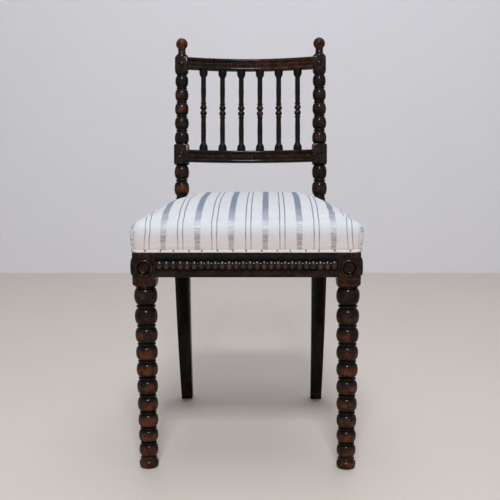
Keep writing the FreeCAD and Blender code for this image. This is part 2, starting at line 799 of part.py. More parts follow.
def finial(name):
    """The cove above the crest block, the neck and the ball."""
    stem = size("finial_stem")
    neck = size("finial_neck") / 2
    radius = size("ball_width") / 2
    half_block = size("crest_block_width") / 2
    cove = [
        (stem * level, half_block * share) for level, share in zip(COVE_LEVEL_SHARES, COVE_WIDTH_SHARES)
    ]
    bands = [math.pi / 2 * share for share in BALL_LATITUDE_SHARES]
    ball = [(stem + radius * (1 + math.sin(band)), radius * math.cos(band)) for band in bands]
    shape = turned([*cove, (stem * COVE_END_SHARE, neck), (stem, neck), *ball], POST_FLAT_COUNT)
    return sits_at(feature(name, shape), ("0", "0", "Places.finial_up"))


def bow_y(across):
    """How far behind the posts' plane the bowed back lies at a distance from its middle."""
    return f"(Places.bow_middle_y + sqrt(Places.bow_radius ^ 2 - ({across}) ^ 2))"


def back_mortise(name, sign, half, width, rail_up, rail_height):
    """The mortise in a post's block for a back rail's tenon, in the post's own frame."""
    gap = "Sizes.glue_gap"
    low, high = mirrored(
        -sign,
        f"{width} / 2 - Sizes.back_tenon_reach - {gap}",
        f"{width} / 2 + Sizes.overrun",
    )
    middle_y = bow_y(half)
    middle_z = f"({rail_up} + {rail_height} / 2)"
    return box(
        name,
        (low, high),
        (
            f"{middle_y} - Sizes.back_tenon_thick / 2 - {gap}",
            f"{middle_y} + Sizes.back_tenon_thick / 2 + {gap}",
        ),
        (
            f"{middle_z} - Sizes.back_tenon_height / 2 - {gap}",
            f"{middle_z} + Sizes.back_tenon_height / 2 + {gap}",
        ),
    )


# The square blocks of the back: their level, height, width and the rail that each one holds
BACK_BLOCKS = {
    "lower": ("Places.lower_block_up", "Sizes.lower_block", "Sizes.lower_block_width"),
    "crest": ("Places.crest_block_up", "Sizes.crest_block", "Sizes.crest_block_width"),
}
BACK_RAILS = {
    "lower": ("Places.lower_half", "Places.lower_rail_up", "Sizes.lower_rail_height"),
    "crest": ("Places.crest_half", "Places.crest_up", "Sizes.crest_height"),
}


def rear_post(side):
    sign = SIGNS[side]
    name = f"rear_post_{side}"
    stub_half = ("-Places.post_half", "Places.post_half")
    pieces = [box(name + "_stub", stub_half, stub_half, ("Places.stub_low", "Sizes.seat_stub"))]
    tools = []
    for level, (up, height, width) in BACK_BLOCKS.items():
        half = (f"-{width} / 2", f"{width} / 2")
        pieces.append(box(f"{name}_{level}_block", half, half, (up, f"{up} + {height}")))
        half_span, rail_up, rail_height = BACK_RAILS[level]
        mortise = f"{name}_{level}_mortise"
        tools.append(back_mortise(mortise, sign, half_span, width, rail_up, rail_height))
        depth = "(Sizes.button_pin_reach + Sizes.glue_gap)"
        spot = ("0", f"-{width} / 2 + {depth}", f"{up} + {height} / 2")
        bore = ("Sizes.button_pin / 2 + Sizes.glue_gap", f"{depth} + Sizes.overrun")
        tools.append(peg(f"{name}_{level}_button_hole", SPINDLE_FLAT_COUNT, *bore, spot, facing_front()))
    bobbins = len(LOW_POST_BOBBIN_SHARES) + len(HIGH_POST_BOBBIN_SHARES)
    widths = even_steps(size("low_post_bobbin"), size("high_post_bobbin"), bobbins)
    low_count = len(LOW_POST_BOBBIN_SHARES)
    low_run = (size("low_turning"), "Sizes.seat_stub", LOW_POST_BOBBIN_SHARES, widths[:low_count])
    high_run = (
        size("high_turning"),
        "Places.high_turning_up",
        HIGH_POST_BOBBIN_SHARES,
        widths[low_count:],
    )
    pieces.append(post_turning(name + "_low_turning", *low_run))
    pieces.append(post_turning(name + "_high_turning", *high_run))
    pieces.append(finial(name + "_finial"))
    stile = cut(name + "_stile", fuse(name + "_stile_solid", pieces), tools)
    stile.Placement = back_frame(sign * size("post_out"))
    post = fuse(name + "_solid", [sawn_leg(name, sign), stile])
    gap = "Sizes.glue_gap"
    mortise_up = (f"Places.tenon_low - {gap}", f"Places.tenon_top + {gap}")
    rail_mortises = [
        box(
            name + "_side_mortise",
            side_tenon_across(sign, "Places.side_back_out", gap),
            (
                "Places.post_front - Sizes.overrun",
                f"Places.rear_tenon_y - Sizes.tenon_wall + {gap}",
            ),
            mortise_up,
        ),
        box(
            name + "_rear_mortise",
            mirrored(
                sign,
                "Places.post_inner - Sizes.overrun",
                f"Places.post_inner + Sizes.tenon_reach + {gap}",
            ),
            (
                f"Places.rear_tenon_y - {gap}",
                f"Places.rear_tenon_y + Sizes.tenon_thick + {gap}",
            ),
            mortise_up,
        ),
    ]
    keep(name, cut(name, post, rail_mortises))


# Bowed rails, spindles and buttons of the back
def bowed_plan(half, forward):
    """The plan of a bowed rail: concentric front and back arcs between ends that are square to X."""
    front = f"(Places.bow_radius - Sizes.back_rail_thick / 2 - {forward})"
    back = "(Places.bow_radius + Sizes.back_rail_thick / 2)"
    front_y = f"Places.bow_middle_y + sqrt({front} ^ 2 - {half} ^ 2)"
    back_y = f"Places.bow_middle_y + sqrt({back} ^ 2 - {half} ^ 2)"
    corners = [(f"-{half}", front_y), (half, front_y), (half, back_y), (f"-{half}", back_y)]
    return corners, {0: (front, 1), 2: (back, -1)}


def back_rail(node, level, socket_from, socket_way):
    """A bowed rail with a reed along each edge of its face, a tenon at each end and spindle sockets."""
    half, up, height = BACK_RAILS[level]
    body = new_body(node + "_body")
    bands = {
        "low_reed": ("Sizes.reed_rise", up, "Sizes.reed_height"),
        "fillet": ("0", f"{up} + Sizes.reed_height", f"{height} - 2 * Sizes.reed_height"),
        "top_reed": ("Sizes.reed_rise", f"{up} + {height} - Sizes.reed_height", "Sizes.reed_height"),
    }
    for band, (forward, low, high) in bands.items():
        corners, arcs = bowed_plan(half, forward)
        pad(body, f"{node}_{band}", "XY_Plane", corners, low, high, arcs)
    middle_y = bow_y(half)
    along = (
        f"{middle_y} - Sizes.back_tenon_thick / 2",
        f"{middle_y} + Sizes.back_tenon_thick / 2",
    )
    tenon_low = f"{up} + ({height} - Sizes.back_tenon_height) / 2"
    for side, sign in SIGNS.items():
        across = mirrored(sign, f"{half} - Sizes.overrun", f"{half} + Sizes.back_tenon_reach")
        tenon = rectangle(across, along)
        pad(body, f"{node}_{side}_tenon", "XY_Plane", tenon, tenon_low, "Sizes.back_tenon_height")
    sockets = [
        peg(
            f"{node}_socket_{index + 1}",
            SPINDLE_FLAT_COUNT,
            "Sizes.spindle_pin / 2 + Sizes.glue_gap",
            "Sizes.spindle_pin_reach + Sizes.glue_gap + Sizes.overrun",
            (spindle_across(index), bow_y(spindle_across(index)), f"{socket_from} {socket_way}"),
        )
        for index in range(SPINDLE_COUNT)
    ]
    rail = cut(node, body, sockets)
    rail.Placement = back_frame()
    keep(node, rail)


def spindle_across(index):
    return f"({index - (SPINDLE_COUNT - 1) / 2}) * Sizes.spindle_spacing"


def spindle(index):
    """A turned stick: flared ends, a slim shaft and a pair of beads between fillets, pinned both ends."""
    half = (place("crest_up") - place("spindle_up")) / 2
    shaft = size("spindle_shaft")
    widths = {
        "shaft": shaft,
        "bead": size("spindle_bead"),
        "fillet": shaft * SPINDLE_FILLET_SHARE,
        "end": size("spindle_end"),
    }
    outline = [(half * up, widths[kind] / 2) for up, kind in zip(SPINDLE_LEVEL_SHARES, SPINDLE_WIDTHS)]
    pin = size("spindle_pin") / 2
    outline += [(half, pin), (half + size("spindle_pin_reach"), pin)]
    mirror_image = [(-up, radius) for up, radius in reversed(outline[1:])]
    across = spindle_across(index)
    spot = FreeCAD.Vector(worth(across), worth(bow_y(across)), place("spindle_up") + half)
    turn = FreeCAD.Placement(spot, FreeCAD.Rotation())
    node = f"spindle_{index + 1}"
    shape = turned(mirror_image + outline, SPINDLE_FLAT_COUNT)
    keep(node, feature(node, shape, back_frame().multiply(turn)))


def block_buttons():
    """The four small turned buttons on the fronts of the posts' blocks."""
    sizes = [size(key) for key in ("button_pin", "button_pin_reach", "button_width", "button_rise")]
    shape = knob(*sizes, BUTTON_RADIUS_SHARES, BUTTON_RISE_SHARES, SPINDLE_FLAT_COUNT)
    buttons = []
    for side, sign in SIGNS.items():
        for level, (up, height, width) in BACK_BLOCKS.items():
            middle = worth(f"{up} + {height} / 2")
            spot = FreeCAD.Vector(0, -worth(width) / 2, middle)
            seat = back_frame(sign * size("post_out")).multiply(FreeCAD.Placement(spot, facing_front()))
            buttons.append(feature(f"button_{level}_{side}", shape, seat))
    keep("block_buttons", group("block_buttons", buttons))


# Upholstery, from the webbing up to the cover
def side_line(back):
    """The outer face of the side rails at a depth, as a distance from the middle."""
    return f"(Places.side_front_out - Places.side_slope * (({back}) - Places.leg_back))"


def webbing():
    """Straps over the rails from front to back, and straps across them from side to side."""
    middle = (STRAP_COUNT - 1) / 2
    lengthwise = [
        box(
            f"strap_along_{index + 1}",
            (
                f"({index - middle}) * Sizes.strap_spacing - Sizes.strap_width / 2",
                f"({index - middle}) * Sizes.strap_spacing + Sizes.strap_width / 2",
            ),
            ("Places.front_face_y + Sizes.strap_end", "Places.rear_outer_y - Sizes.strap_end"),
            ("Places.strip_top", "Places.strip_top + Sizes.strap_thick"),
        )
        for index in range(STRAP_COUNT)
    ]
    keep("webbing_lengthwise", group("webbing_lengthwise", lengthwise))
    seat_middle = "(Places.leg_back + Places.post_front) / 2"
    crosswise = []
    for index in range(STRAP_COUNT):
        low = f"{seat_middle} + ({index - middle}) * Sizes.strap_spacing - Sizes.strap_width / 2"
        high = f"{low} + Sizes.strap_width"
        half = f"({side_line(high)} - Sizes.strap_end)"
        up = ("Places.strip_top + Sizes.strap_thick", "Places.cloth_low")
        crosswise.append(box(f"strap_across_{index + 1}", (f"-{half}", half), (low, high), up))
    keep("webbing_crosswise", group("webbing_crosswise", crosswise))


def base_hessian():
    """The cloth over the webbing that carries the stuffing, cut round the rear posts."""
    inset = "Sizes.hessian_inset"
    notch_y = f"Places.post_front - {inset}"
    right = [
        (f"Places.side_front_out - Sizes.stub_bevel - {inset}", f"Places.front_face_y + {inset}"),
        (f"{side_line('Places.leg_back')} - {inset}", "Places.leg_back"),
        (f"{side_line(notch_y)} - {inset}", notch_y),
        (f"Places.post_inner - {inset}", notch_y),
        (f"Places.post_inner - {inset}", f"Places.rear_outer_y - {inset}"),
    ]
    left = [(f"-({across})", along) for across, along in reversed(right)]
    body = new_body("base_hessian_body")
    pad(body, "base_hessian_pad", "XY_Plane", right + left, "Places.cloth_low", "Sizes.hessian_thick")
    keep("base_hessian", body)


def seat_section(share, crown_share, draw_share, inset, low, chords):
    """One cross section of the seat: upright sides, rounded shoulders and a crowned top."""
    outset = size("soft_gap") + size("cover_thick") - inset
    front = place("front_face_y") - outset
    back = place("rear_outer_y") + outset
    depth = front + (back - front) * share
    half = worth(side_line(depth)) + outset - size("corner_draw") * draw_share
    rise = size("crown_rise") * crown_share
    base = size("show_top") - inset
    side_top = base + size("seat_side_high") + rise * SIDE_FOLLOW_SHARE
    top = base + size("seat_edge_high") + rise
    run = size("shoulder_run")
    lift = (top - side_top) * SHOULDER_TOP_SHARE

    def spot(across, up):
        return FreeCAD.Vector(across, depth, up)

    def shoulder(way):
        bend = spot(way * (half - run * SHOULDER_RUN_SHARE), side_top + lift * SHOULDER_RISE_SHARE)
        ends = [spot(way * half, side_top), spot(way * (half - run), side_top + lift)]
        return (ends[0], bend, ends[1]) if way < 0 else (ends[1], bend, ends[0])

    left = shoulder(-1)
    right = shoulder(1)
    arcs = [Part.Arc(*left), Part.Arc(left[2], spot(0, top), right[0]), Part.Arc(*right)]
    edges = [arc.toShape() for arc in arcs]
    if chords:
        points = [point for edge in edges for point in edge.discretize(chords + 1)[:-1]]
        edges = [Part.makePolygon([*points, right[2]])]
    foot = Part.makePolygon([right[2], spot(half, low), spot(-half, low), left[0]])
    return Part.Wire([side for edge in [*edges, foot] for side in edge.Edges])


def seat_form(name, inset, low, chords=0):
    """The stuffed seat's crowned outline, drawn in by an inset, as a loft from front to back."""
    stations = zip(SEAT_DEPTH_SHARES, SEAT_CROWN_SHARES, SEAT_DRAW_SHARES)
    sections = [seat_section(*station, inset, low, chords) for station in stations]
    return feature(name, Part.makeLoft(sections, True, True))


def post_clearances(name):
    """What the seat's cover and stuffing leave free round the rear posts."""
    gap = "Sizes.soft_gap"
    rooms = []
    for side, sign in SIGNS.items():
        across = mirrored(sign, f"Places.post_inner - {gap}", "Places.post_outer + Sizes.overrun")
        upright = (f"Places.post_front - {gap}", "Places.toe_back")
        up = ("Places.rail_low", "Places.bend_up")
        rooms.append(box(f"{name}_{side}_upright_room", across, upright, up))
        own = mirrored(sign, f"-Places.post_half - {gap}", "Places.post_half + Sizes.overrun")
        raked = (f"-Places.post_half - {gap}", "Sizes.splay_out")
        room = box(f"{name}_{side}_raked_room", own, raked, ("Places.stub_low", "Places.lower_block_up"))
        moved = group(f"{name}_{side}_raked", [room])
        moved.Placement = back_frame(sign * size("post_out"))
        rooms.append(moved)
    return rooms


def seat_cover():
    outer = seat_form("seat_outer_form", 0.0, size("show_top"))
    hollow_low = size("show_top") - size("overrun")
    hollow = seat_form("seat_hollow_form", size("cover_thick"), hollow_low, LINING_CHORD_COUNT)
    keep("seat_cover", cut("seat_cover", outer, [hollow, *post_clearances("cover")]))


def stuffing():
    """The firm first stuffing and the crowned second stuffing over it."""
    inset = size("cover_thick") + size("soft_gap")
    width = ("-Places.side_front_out - Sizes.cover_thick", "Places.side_front_out + Sizes.cover_thick")
    depth = ("Places.front_face_y - Sizes.cover_thick", "Places.rear_outer_y + Sizes.cover_thick")
    layers = {
        "first_stuffing": ("Places.pad_low", "Places.first_stuffing_top"),
        "second_stuffing": ("Places.first_stuffing_top + Sizes.soft_gap", "Places.crown_top"),
    }
    for node, up in layers.items():
        form = seat_form(node + "_form", inset, size("show_top"), LINING_CHORD_COUNT)
        slab = box(node + "_slab", width, depth, up)
        layer = common(node + "_layer", form, slab)
        keep(node, cut(node, layer, post_clearances(node)))


def build():
    for side in SIGNS:
        front_leg(side)
        roundels(side)
        rear_post(side)
        side_rail(side)
    front_rail()
    rear_rail()
    front_moulding()
    for end in ("front", "rear"):
        for side in SIGNS:
            corner_block(end, side)
    corner_screws()
    socket_depth = "(Sizes.spindle_pin_reach + Sizes.glue_gap)"
    back_rail("lower_back_rail", "lower", "Places.spindle_up", f"- {socket_depth}")
    back_rail("crest_rail", "crest", "Places.crest_up", "- Sizes.overrun")
    for index in range(SPINDLE_COUNT):
        spindle(index)
    block_buttons()
    webbing()
    base_hessian()
    stuffing()
    seat_cover()
    DOC.recompute()


def check_objects():
    for obj in DOC.Objects:
        if {"Invalid", "Error"} & set(obj.State):
            raise RuntimeError(f"{obj.Name} did not compute")
    for node, obj in NODES.items():
        if obj.Shape.isNull() or not obj.Shape.isValid():
            raise RuntimeError(f"{node} has no sound shape")
        if not obj.Shape.Solids:
            raise RuntimeError(f"{node} has no solid")


def write_parts():
    os.makedirs(OUT, exist_ok=True)
    for node, obj in NODES.items():
        obj.Shape.exportStep(f"{OUT}/{node}.step")


build()
check_objects()
write_parts()
for label, item in NODES.items():
    print(label, len(item.Shape.Solids), "solids", round(item.Shape.Volume), "mm3")
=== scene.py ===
import random
from itertools import groupby
from math import atan2, cos, hypot, pi, radians, sin, sqrt, tan, tau

import bpy
import numpy as np
from mathutils import Matrix, Vector, noise


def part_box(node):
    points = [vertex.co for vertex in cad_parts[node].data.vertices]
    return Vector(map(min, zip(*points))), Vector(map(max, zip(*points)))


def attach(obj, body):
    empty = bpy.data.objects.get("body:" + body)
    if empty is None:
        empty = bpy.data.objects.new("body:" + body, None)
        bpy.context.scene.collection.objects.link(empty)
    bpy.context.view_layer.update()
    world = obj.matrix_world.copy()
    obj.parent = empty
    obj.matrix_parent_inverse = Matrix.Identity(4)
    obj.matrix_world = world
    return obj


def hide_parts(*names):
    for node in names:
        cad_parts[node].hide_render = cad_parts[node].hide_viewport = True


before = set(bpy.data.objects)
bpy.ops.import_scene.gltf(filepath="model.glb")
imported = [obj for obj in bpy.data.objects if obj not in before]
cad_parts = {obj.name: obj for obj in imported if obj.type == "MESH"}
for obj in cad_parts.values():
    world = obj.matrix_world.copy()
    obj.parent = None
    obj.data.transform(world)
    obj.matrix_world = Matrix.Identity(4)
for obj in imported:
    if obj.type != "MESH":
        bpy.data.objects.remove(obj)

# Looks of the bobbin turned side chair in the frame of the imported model, in metres but for some rows

SCENE = bpy.context.scene
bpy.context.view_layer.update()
SIGNS = {"left": -1, "right": 1}
ROOT = "root"


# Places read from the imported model
def middle(node_name):
    low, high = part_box(node_name)
    return (low + high) / 2


LEG_OUT, LEG_Y, _ = middle("front_leg_right")
RAIL_LOW, RAIL_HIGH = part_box("front_rail")
SEAT_LOW, SEAT_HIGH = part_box("seat_cover")
SEAT_FRONT = SEAT_LOW.y
SEAT_BACK = SEAT_HIGH.y
SHOW_TOP = SEAT_LOW.z
POST_OUT = middle("rear_post_right").x
POST_Y = middle("rear_rail").y
BEND_ABOVE_RAIL = 0.002
BEND_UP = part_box("rear_rail")[1].z + BEND_ABOVE_RAIL

# Sizes that the boxes don't give
BLOCK_HALF = 0.0205
BLOCK_LOW = SHOW_TOP - 0.062
POST_HALF = 0.0165
RAKE = radians(8.57)
KNEE_UP = 0.340
SPLAY_OUT = 0.0483
TOE_WIDTH = 0.0245
TOE_DEPTH = 0.024
TOE_LEAN = 0.0015
STUB_UP = 0.053
LOW_TURNING = 0.0717
LOWER_BLOCK = 0.0444
LOWER_BLOCK_HALF = 0.01575
HIGH_TURNING = 0.1556
CREST_BLOCK = 0.035
CREST_BLOCK_HALF = 0.0138
BACK_BOW = 0.022
BACK_FORWARD = 0.003
BACK_RAIL_HALF = 0.008
LOWER_RAIL_HIGH = 0.0261
LOWER_RAIL_LOW = 0.0056
CREST_RAIL_HIGH = 0.0253
CREST_RAIL_LOW = 0.0080

# Levels along the raked back, from the bend above the seat rails
LOWER_BLOCK_UP = STUB_UP + LOW_TURNING
HIGH_TURNING_UP = LOWER_BLOCK_UP + LOWER_BLOCK
CREST_BLOCK_UP = HIGH_TURNING_UP + HIGH_TURNING
FINIAL_UP = CREST_BLOCK_UP + CREST_BLOCK
LOWER_RAIL_UP = LOWER_BLOCK_UP + LOWER_RAIL_LOW
CREST_RAIL_UP = CREST_BLOCK_UP + CREST_RAIL_LOW
CREST_HALF = POST_OUT - CREST_BLOCK_HALF
LOWER_HALF = POST_OUT - LOWER_BLOCK_HALF
BOW_RADIUS = (CREST_HALF**2 + BACK_BOW**2) / (2 * BACK_BOW)
BOW_MIDDLE = BACK_BOW - BACK_FORWARD - BOW_RADIUS

# Turned work: middles of bobbins as shares of their turning
LEG_SHARES = (0.099, 0.18, 0.264, 0.356, 0.45, 0.546, 0.638, 0.735, 0.836, 0.946)
LOW_POST_SHARES = (0.27, 0.766)
HIGH_POST_SHARES = (0.087, 0.295, 0.493, 0.691, 0.886)
FILL_SHARE = 0.8
NECK_SHARE = 0.71
RING_SHARE = 0.83
BOBBIN_POINTS = 13
BOBBIN_FULLNESS = 0.56
GROOVE_WEAR = 0.12
# The radius of a row that is left square
UNTURNED = 1.0
# Faces that meet at more than this angle keep a sharp edge
SHARP = radians(32)


# Meshes
def placed(name, data):
    """A new object in the scene."""
    made = bpy.data.objects.new(name, data)
    SCENE.collection.objects.link(made)
    return made


def link(mesh, name, material, sharp):
    """A mesh object that rides on the frame, shaded smooth between its sharp edges."""
    mesh.materials.append(material)
    for polygon in mesh.polygons:
        polygon.use_smooth = True
    mesh.set_sharp_from_angle(angle=sharp)
    piece = placed(name, mesh)
    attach(piece, ROOT)
    return piece


class Skin:
    """Points, faces and a wear value for each point, gathered from several surfaces."""

    def __init__(self):
        self.points = []
        self.faces = []
        self.wear = []

    def add(self, rings, wear=None, low_cap=True, front=False):
        """Joins rings of equal length into a surface. wear has one value for each ring or point.

        With front set, the wear fades round the sides of the rings to a fifth at the back."""
        start = len(self.points)
        count = len(rings[0])
        for ring, worn in zip(rings, wear or [0.0] * len(rings)):
            shares = worn if isinstance(worn, list) else [worn] * count
            if front:
                middle_y = sum(point.y for point in ring) / count
                reach = max(1e-6, max(abs(point.y - middle_y) for point in ring))
                turns = [smooth((middle_y - point.y) / reach, -0.15, 0.95) for point in ring]
                shares = [worn * (0.2 + 0.8 * turn) for turn in turns]
            self.points.extend(ring)
            self.wear.extend(shares)
        last = len(self.points) - count
        for low in range(start, last, count):
            high = low + count
            for column in range(count):
                after = (column + 1) % count
                self.faces.append((low + column, low + after, high + after, high + column))
        if low_cap:
            self.faces.append(tuple(reversed(range(start, start + count))))
        self.faces.append(tuple(range(last, last + count)))
        return self

    def turn(self, rows, directions, place, wear=None, below=(), **options):
        """Adds turned work of (height, radius) rows over the rings below it.

        place maps across, along and height to a point. A third value in a row is the half width of the square
        that is turned down."""
        rings = list(below)
        for height, radius, *half in rows:
            ring = []
            for east, north, reach in directions:
                out = min(half[0] * reach, radius) if half else radius
                ring.append(place(east * out, north * out, height))
            rings.append(ring)
        return self.add(rings, wear, **options)

    def mesh(self, name):
        mesh = bpy.data.meshes.new(name)
        mesh.from_pydata([tuple(point) for point in self.points], [], self.faces)
        mesh.update()
        return mesh

    def piece(self, name, material, slot="ebonised_wood", sharp=SHARP):
        mesh = self.mesh(name)
        mesh.attributes.new("wear", "FLOAT", "POINT").data.foreach_set("value", self.wear)
        return link(mesh, name, material, sharp)


def round_directions(count):
    """Unit directions round an axis, each with the reach of a round section, which is 1."""
    angles = [tau * index / count for index in range(count)]
    return [(cos(angle), sin(angle), 1.0) for angle in angles]


def square_directions(ease, per_side=6, per_corner=4):
    """Unit directions and reaches of a square of half width 1 whose corners are eased by an arc."""
    flat = 1.0 - ease
    outline = [(1.0, -flat + 2 * flat * index / per_side) for index in range(per_side)]
    for index in range(per_corner):
        angle = pi / 2 * index / per_corner
        outline.append((flat + ease * cos(angle), flat + ease * sin(angle)))
    directions = []
    for quarter in range(4):
        for across, along in outline:
            angle = atan2(along, across) + pi / 2 * quarter
            directions.append((cos(angle), sin(angle), hypot(across, along)))
    return directions


def even_steps(first, last, count):
    return [first + (last - first) * index / (count - 1) for index in range(count)]


def millimetres(*rows):
    return [tuple(value / 1000 for value in row) for row in rows]


def smooth(value, low, high):
    share = min(1.0, max(0.0, (value - low) / (high - low)))
    return share * share * (3 - 2 * share)


def bobbin_rows(low, length, shares, widths, worn):
    """Rows and wear of a run of bobbins with a thin ring in each groove. The wear thins over each bobbin's
    upper half, so the brown of the lower half is partly painted reflection of a brown floor.
    """
    middles = [low + length * share for share in shares]
    pitches = [after - before for before, after in zip(middles, middles[1:])]
    inner = [(before + after) / 2 for before, after in zip(pitches, pitches[1:])]
    halves = [pitch * FILL_SHARE / 2 for pitch in [pitches[0], *inner, pitches[-1]]]
    rows = []
    wear = []
    for middle_up, width, half, shade in zip(middles, widths, halves, worn):
        neck = width * NECK_SHARE / 2
        if rows:
            end = rows[-1][0]
            gap = middle_up - half - end
            ring = width * RING_SHARE / 2
            groove = [(0.1, neck * 0.97), (0.27, neck * 0.97), (0.3, ring * 0.96), (0.42, ring)]
            groove += [(1 - share, radius) for share, radius in reversed(groove)]
            rows += [(end + gap * share, radius) for share, radius in groove]
            wear += [GROOVE_WEAR * shade] * len(groove)
        for angle in even_steps(0.0, pi, BOBBIN_POINTS):
            level = -cos(angle)
            swell = (1 - level**2) ** BOBBIN_FULLNESS
            rows.append((middle_up + half * level, neck + (width / 2 - neck) * swell))
            # Worn brown that is less on the upper half: wear, and partly painted floor reflection
            wear.append(shade * smooth(swell, 0.3, 1.0) * (1.0 - 0.45 * smooth(level, -0.1, 0.8)))
    return rows, wear


# Materials
class Value:
    """A value that varies over a surface: one output of a node. Sums with it make new nodes."""

    def __init__(self, socket):
        self.socket = socket
        self.tree = socket.id_data

    def maths(self, operation, other=0.0):
        return node(self.tree, "Math", {0: self, 1: other}, operation=operation)

    def __add__(self, other):
        return self.maths("ADD", other)

    def __sub__(self, other):
        return self.maths("SUBTRACT", other)

    def __rsub__(self, other):
        return node(self.tree, "Math", {0: other, 1: self}, operation="SUBTRACT")

    def __mul__(self, other):
        return self.maths("MULTIPLY", other)

    def larger(self, other):
        return self.maths("MAXIMUM", other)

    def clamped(self):
        self.socket.node.use_clamp = True
        return self

    def ramp(self, low, high, kind="SMOOTHSTEP"):
        """Rises from 0 at low to 1 at high."""
        inputs = {"Value": self, "From Min": low, "From Max": high}
        return node(self.tree, "MapRange", inputs, interpolation_type=kind)

    def mix(self, first, second):
        """The first colour where this value is 0 and the second where it is 1."""
        return node(self.tree, "Mix", {0: self, 6: first, 7: second}, output=2, data_type="RGBA")

    def part(self, index):
        """One coordinate of this place."""
        return node(self.tree, "SeparateXYZ", {0: self}, output=index)

    def attribute(self, name):
        """The mesh's value of this name, in the same material."""
        return node(self.tree, "Attribute", output="Fac", attribute_name=name)

    def scaled(self, across, along, up):
        return node(self.tree, "Mapping", {"Vector": self, "Scale": (across, along, up)})

    def noise(self, scale, detail, roughness=0.55):
        """Noise at this place."""
        inputs = {"Vector": self, "Scale": scale, "Detail": detail, "Roughness": roughness}
        return node(self.tree, "TexNoise", inputs)


def fill(holder, inputs):
    """Sets a node's inputs, each to a constant or to a value made by other nodes."""
    for key, value in inputs.items():
        if isinstance(value, Value):
            holder.id_data.links.new(value.socket, holder.inputs[key])
        else:
            holder.inputs[key].default_value = value


def node(tree, kind, inputs=None, output=0, **settings):
    made = tree.nodes.new(f"ShaderNode{kind}")
    for key, value in settings.items():
        setattr(made, key, value)
    fill(made, inputs or {})
    return Value(made.outputs[output])


def new_material(name):
    """A material, and the place on the object as a value in it."""
    material = bpy.data.materials.new(name)
    material.use_nodes = True
    return material, node(material.node_tree, "TexCoord", output="Object")


def finished(material, base, roughness, height=None, strength=0.4, distance=0.0004, **others):
    """Gives a material its colour, its roughness, its relief from a height, and other inputs by name."""
    inputs = {"Base Color": base, "Roughness": roughness}
    if height:
        relief = {"Strength": strength, "Distance": distance, "Height": height}
        inputs["Normal"] = node(material.node_tree, "Bump", relief)
    inputs |= {key.replace("_", " "): value for key, value in others.items()}
    fill(material.node_tree.nodes["Principled BSDF"], inputs)
    return material


def colour(red, green, blue):
    """A colour written in the screen's 0 to 255 values."""
    def linear(value):
        share = value / 255
        return share / 12.92 if share <= 0.04045 else ((share + 0.055) / 1.055) ** 2.4
    return (linear(red), linear(green), linear(blue), 1.0)


EBONY = colour(11, 9, 8)
EBONY_BROWN = colour(34, 22, 15)
# Red browns of the wear, also painted as reflection of a brown floor on the lower halves of bobbins and beads
WORN_AND_REFLECTED_BROWN = colour(80, 41, 21)
WORN_AND_REFLECTED_PALE = colour(100, 54, 29)


def ebonised_wood(name="ebonised_wood", grain=(1.0, 1.0, 0.12), wax=0.24):
    """Black stained wood whose high places are worn through to red brown, under old wax. The red brown on the
    lower halves of bobbins and beads is partly painted reflection of a brown floor.
    """
    material, place = new_material(name)
    fibres = place.scaled(*grain).noise(420.0, 5.0, 0.6)
    patches = place.noise(38.0, 4.0, 0.6)
    blotches = place.noise(90.0, 4.0, 0.6)
    spread = (patches + blotches.ramp(0.4, 0.62)) * 0.5
    mask = (place.attribute("wear") * (spread + fibres * 0.4)).ramp(0.1, 0.9)
    black = blotches.ramp(0.4, 0.76).mix(EBONY, EBONY_BROWN)
    brown = fibres.ramp(0.4, 0.75).mix(WORN_AND_REFLECTED_BROWN, WORN_AND_REFLECTED_PALE)
    rough = patches * 0.16 + 0.26 + mask * 0.1
    waxed = {"Specular_IOR_Level": 0.02, "Coat_Weight": wax, "Coat_Roughness": 0.1}
    return finished(material, mask.mix(black, brown), rough, fibres + patches * 0.6, 0.35, 0.0003, **waxed)


def raw_wood():
    """Plain unstained hardwood inside the seat frame."""
    material, place = new_material("raw_wood")
    rings = place.scaled(1.0, 0.1, 1.0).noise(160.0, 5.0)
    base = rings.ramp(0.3, 0.7).mix(colour(120, 84, 52), colour(168, 126, 84))
    return finished(material, base, 0.75, rings)


def dull_metal(name, base, dark, roughness):
    material, place = new_material(name)
    spots = place.noise(700.0, 3.0)
    return finished(material, spots.ramp(0.35, 0.65).mix(base, dark), spots * 0.2 + roughness, Metallic=1.0)


def weave(place, thread):
    """Two crossed sets of threads of one pitch, 0 in the gaps and 1 on the tops."""
    warp, weft = ((place.part(index) * (tau / thread)).maths("SINE") for index in range(2))
    return (warp * weft + 1.0) * 0.5


def coarse_cloth(name, dark, light, thread):
    """Jute and hessian."""
    material, place = new_material(name)
    woven = weave(place, thread)
    shade = (woven + place.noise(240.0, 3.0)) * 0.5
    return finished(material, shade.mix(dark, light), 0.95, woven, 0.6, 0.0006)


# Stripes of the cover, in metres across the cloth
STRIPE_REPEAT = 0.0595
STRIPE_START = 0.0039
STRIPE_DRIFT = 0.0018
LINE_APART = 0.0090
LINE_WIDTH = 0.0020
LINE_EDGE = 0.0005
BAND_WIDTH = 0.0112
BAND_EDGE = 0.0006
HAIR_PLACES = (0.0093, 0.0131, 0.0172, 0.0209, 0.0238)
HAIR_WIDTH = 0.0007
HAIR_EDGE = 0.00025
THREAD = 0.0009
CLOTH = colour(220, 221, 224)
CLOTH_SHADE = colour(203, 204, 208)
HEM_CLOTH = colour(230, 225, 220)
# Warm greyed colours of the cloth and band on the upright sides: painted warm floor bounce and shade
PAINTED_BOUNCE_CLOTH = colour(215, 204, 200)
PAINTED_BOUNCE_BAND = colour(158, 148, 146)
LINE_BLUE = colour(54, 64, 104)
BAND_BLUE = colour(92, 107, 132)
HAIR_BEIGE = colour(190, 180, 172)


def stripe(distance, place, width, edge):
    """1 inside a stripe that lies at a place, with soft edges. distance is from the middle of the repeat."""
    return (distance - place).maths("ABSOLUTE").ramp(width / 2 + edge, width / 2 - edge, "LINEAR")


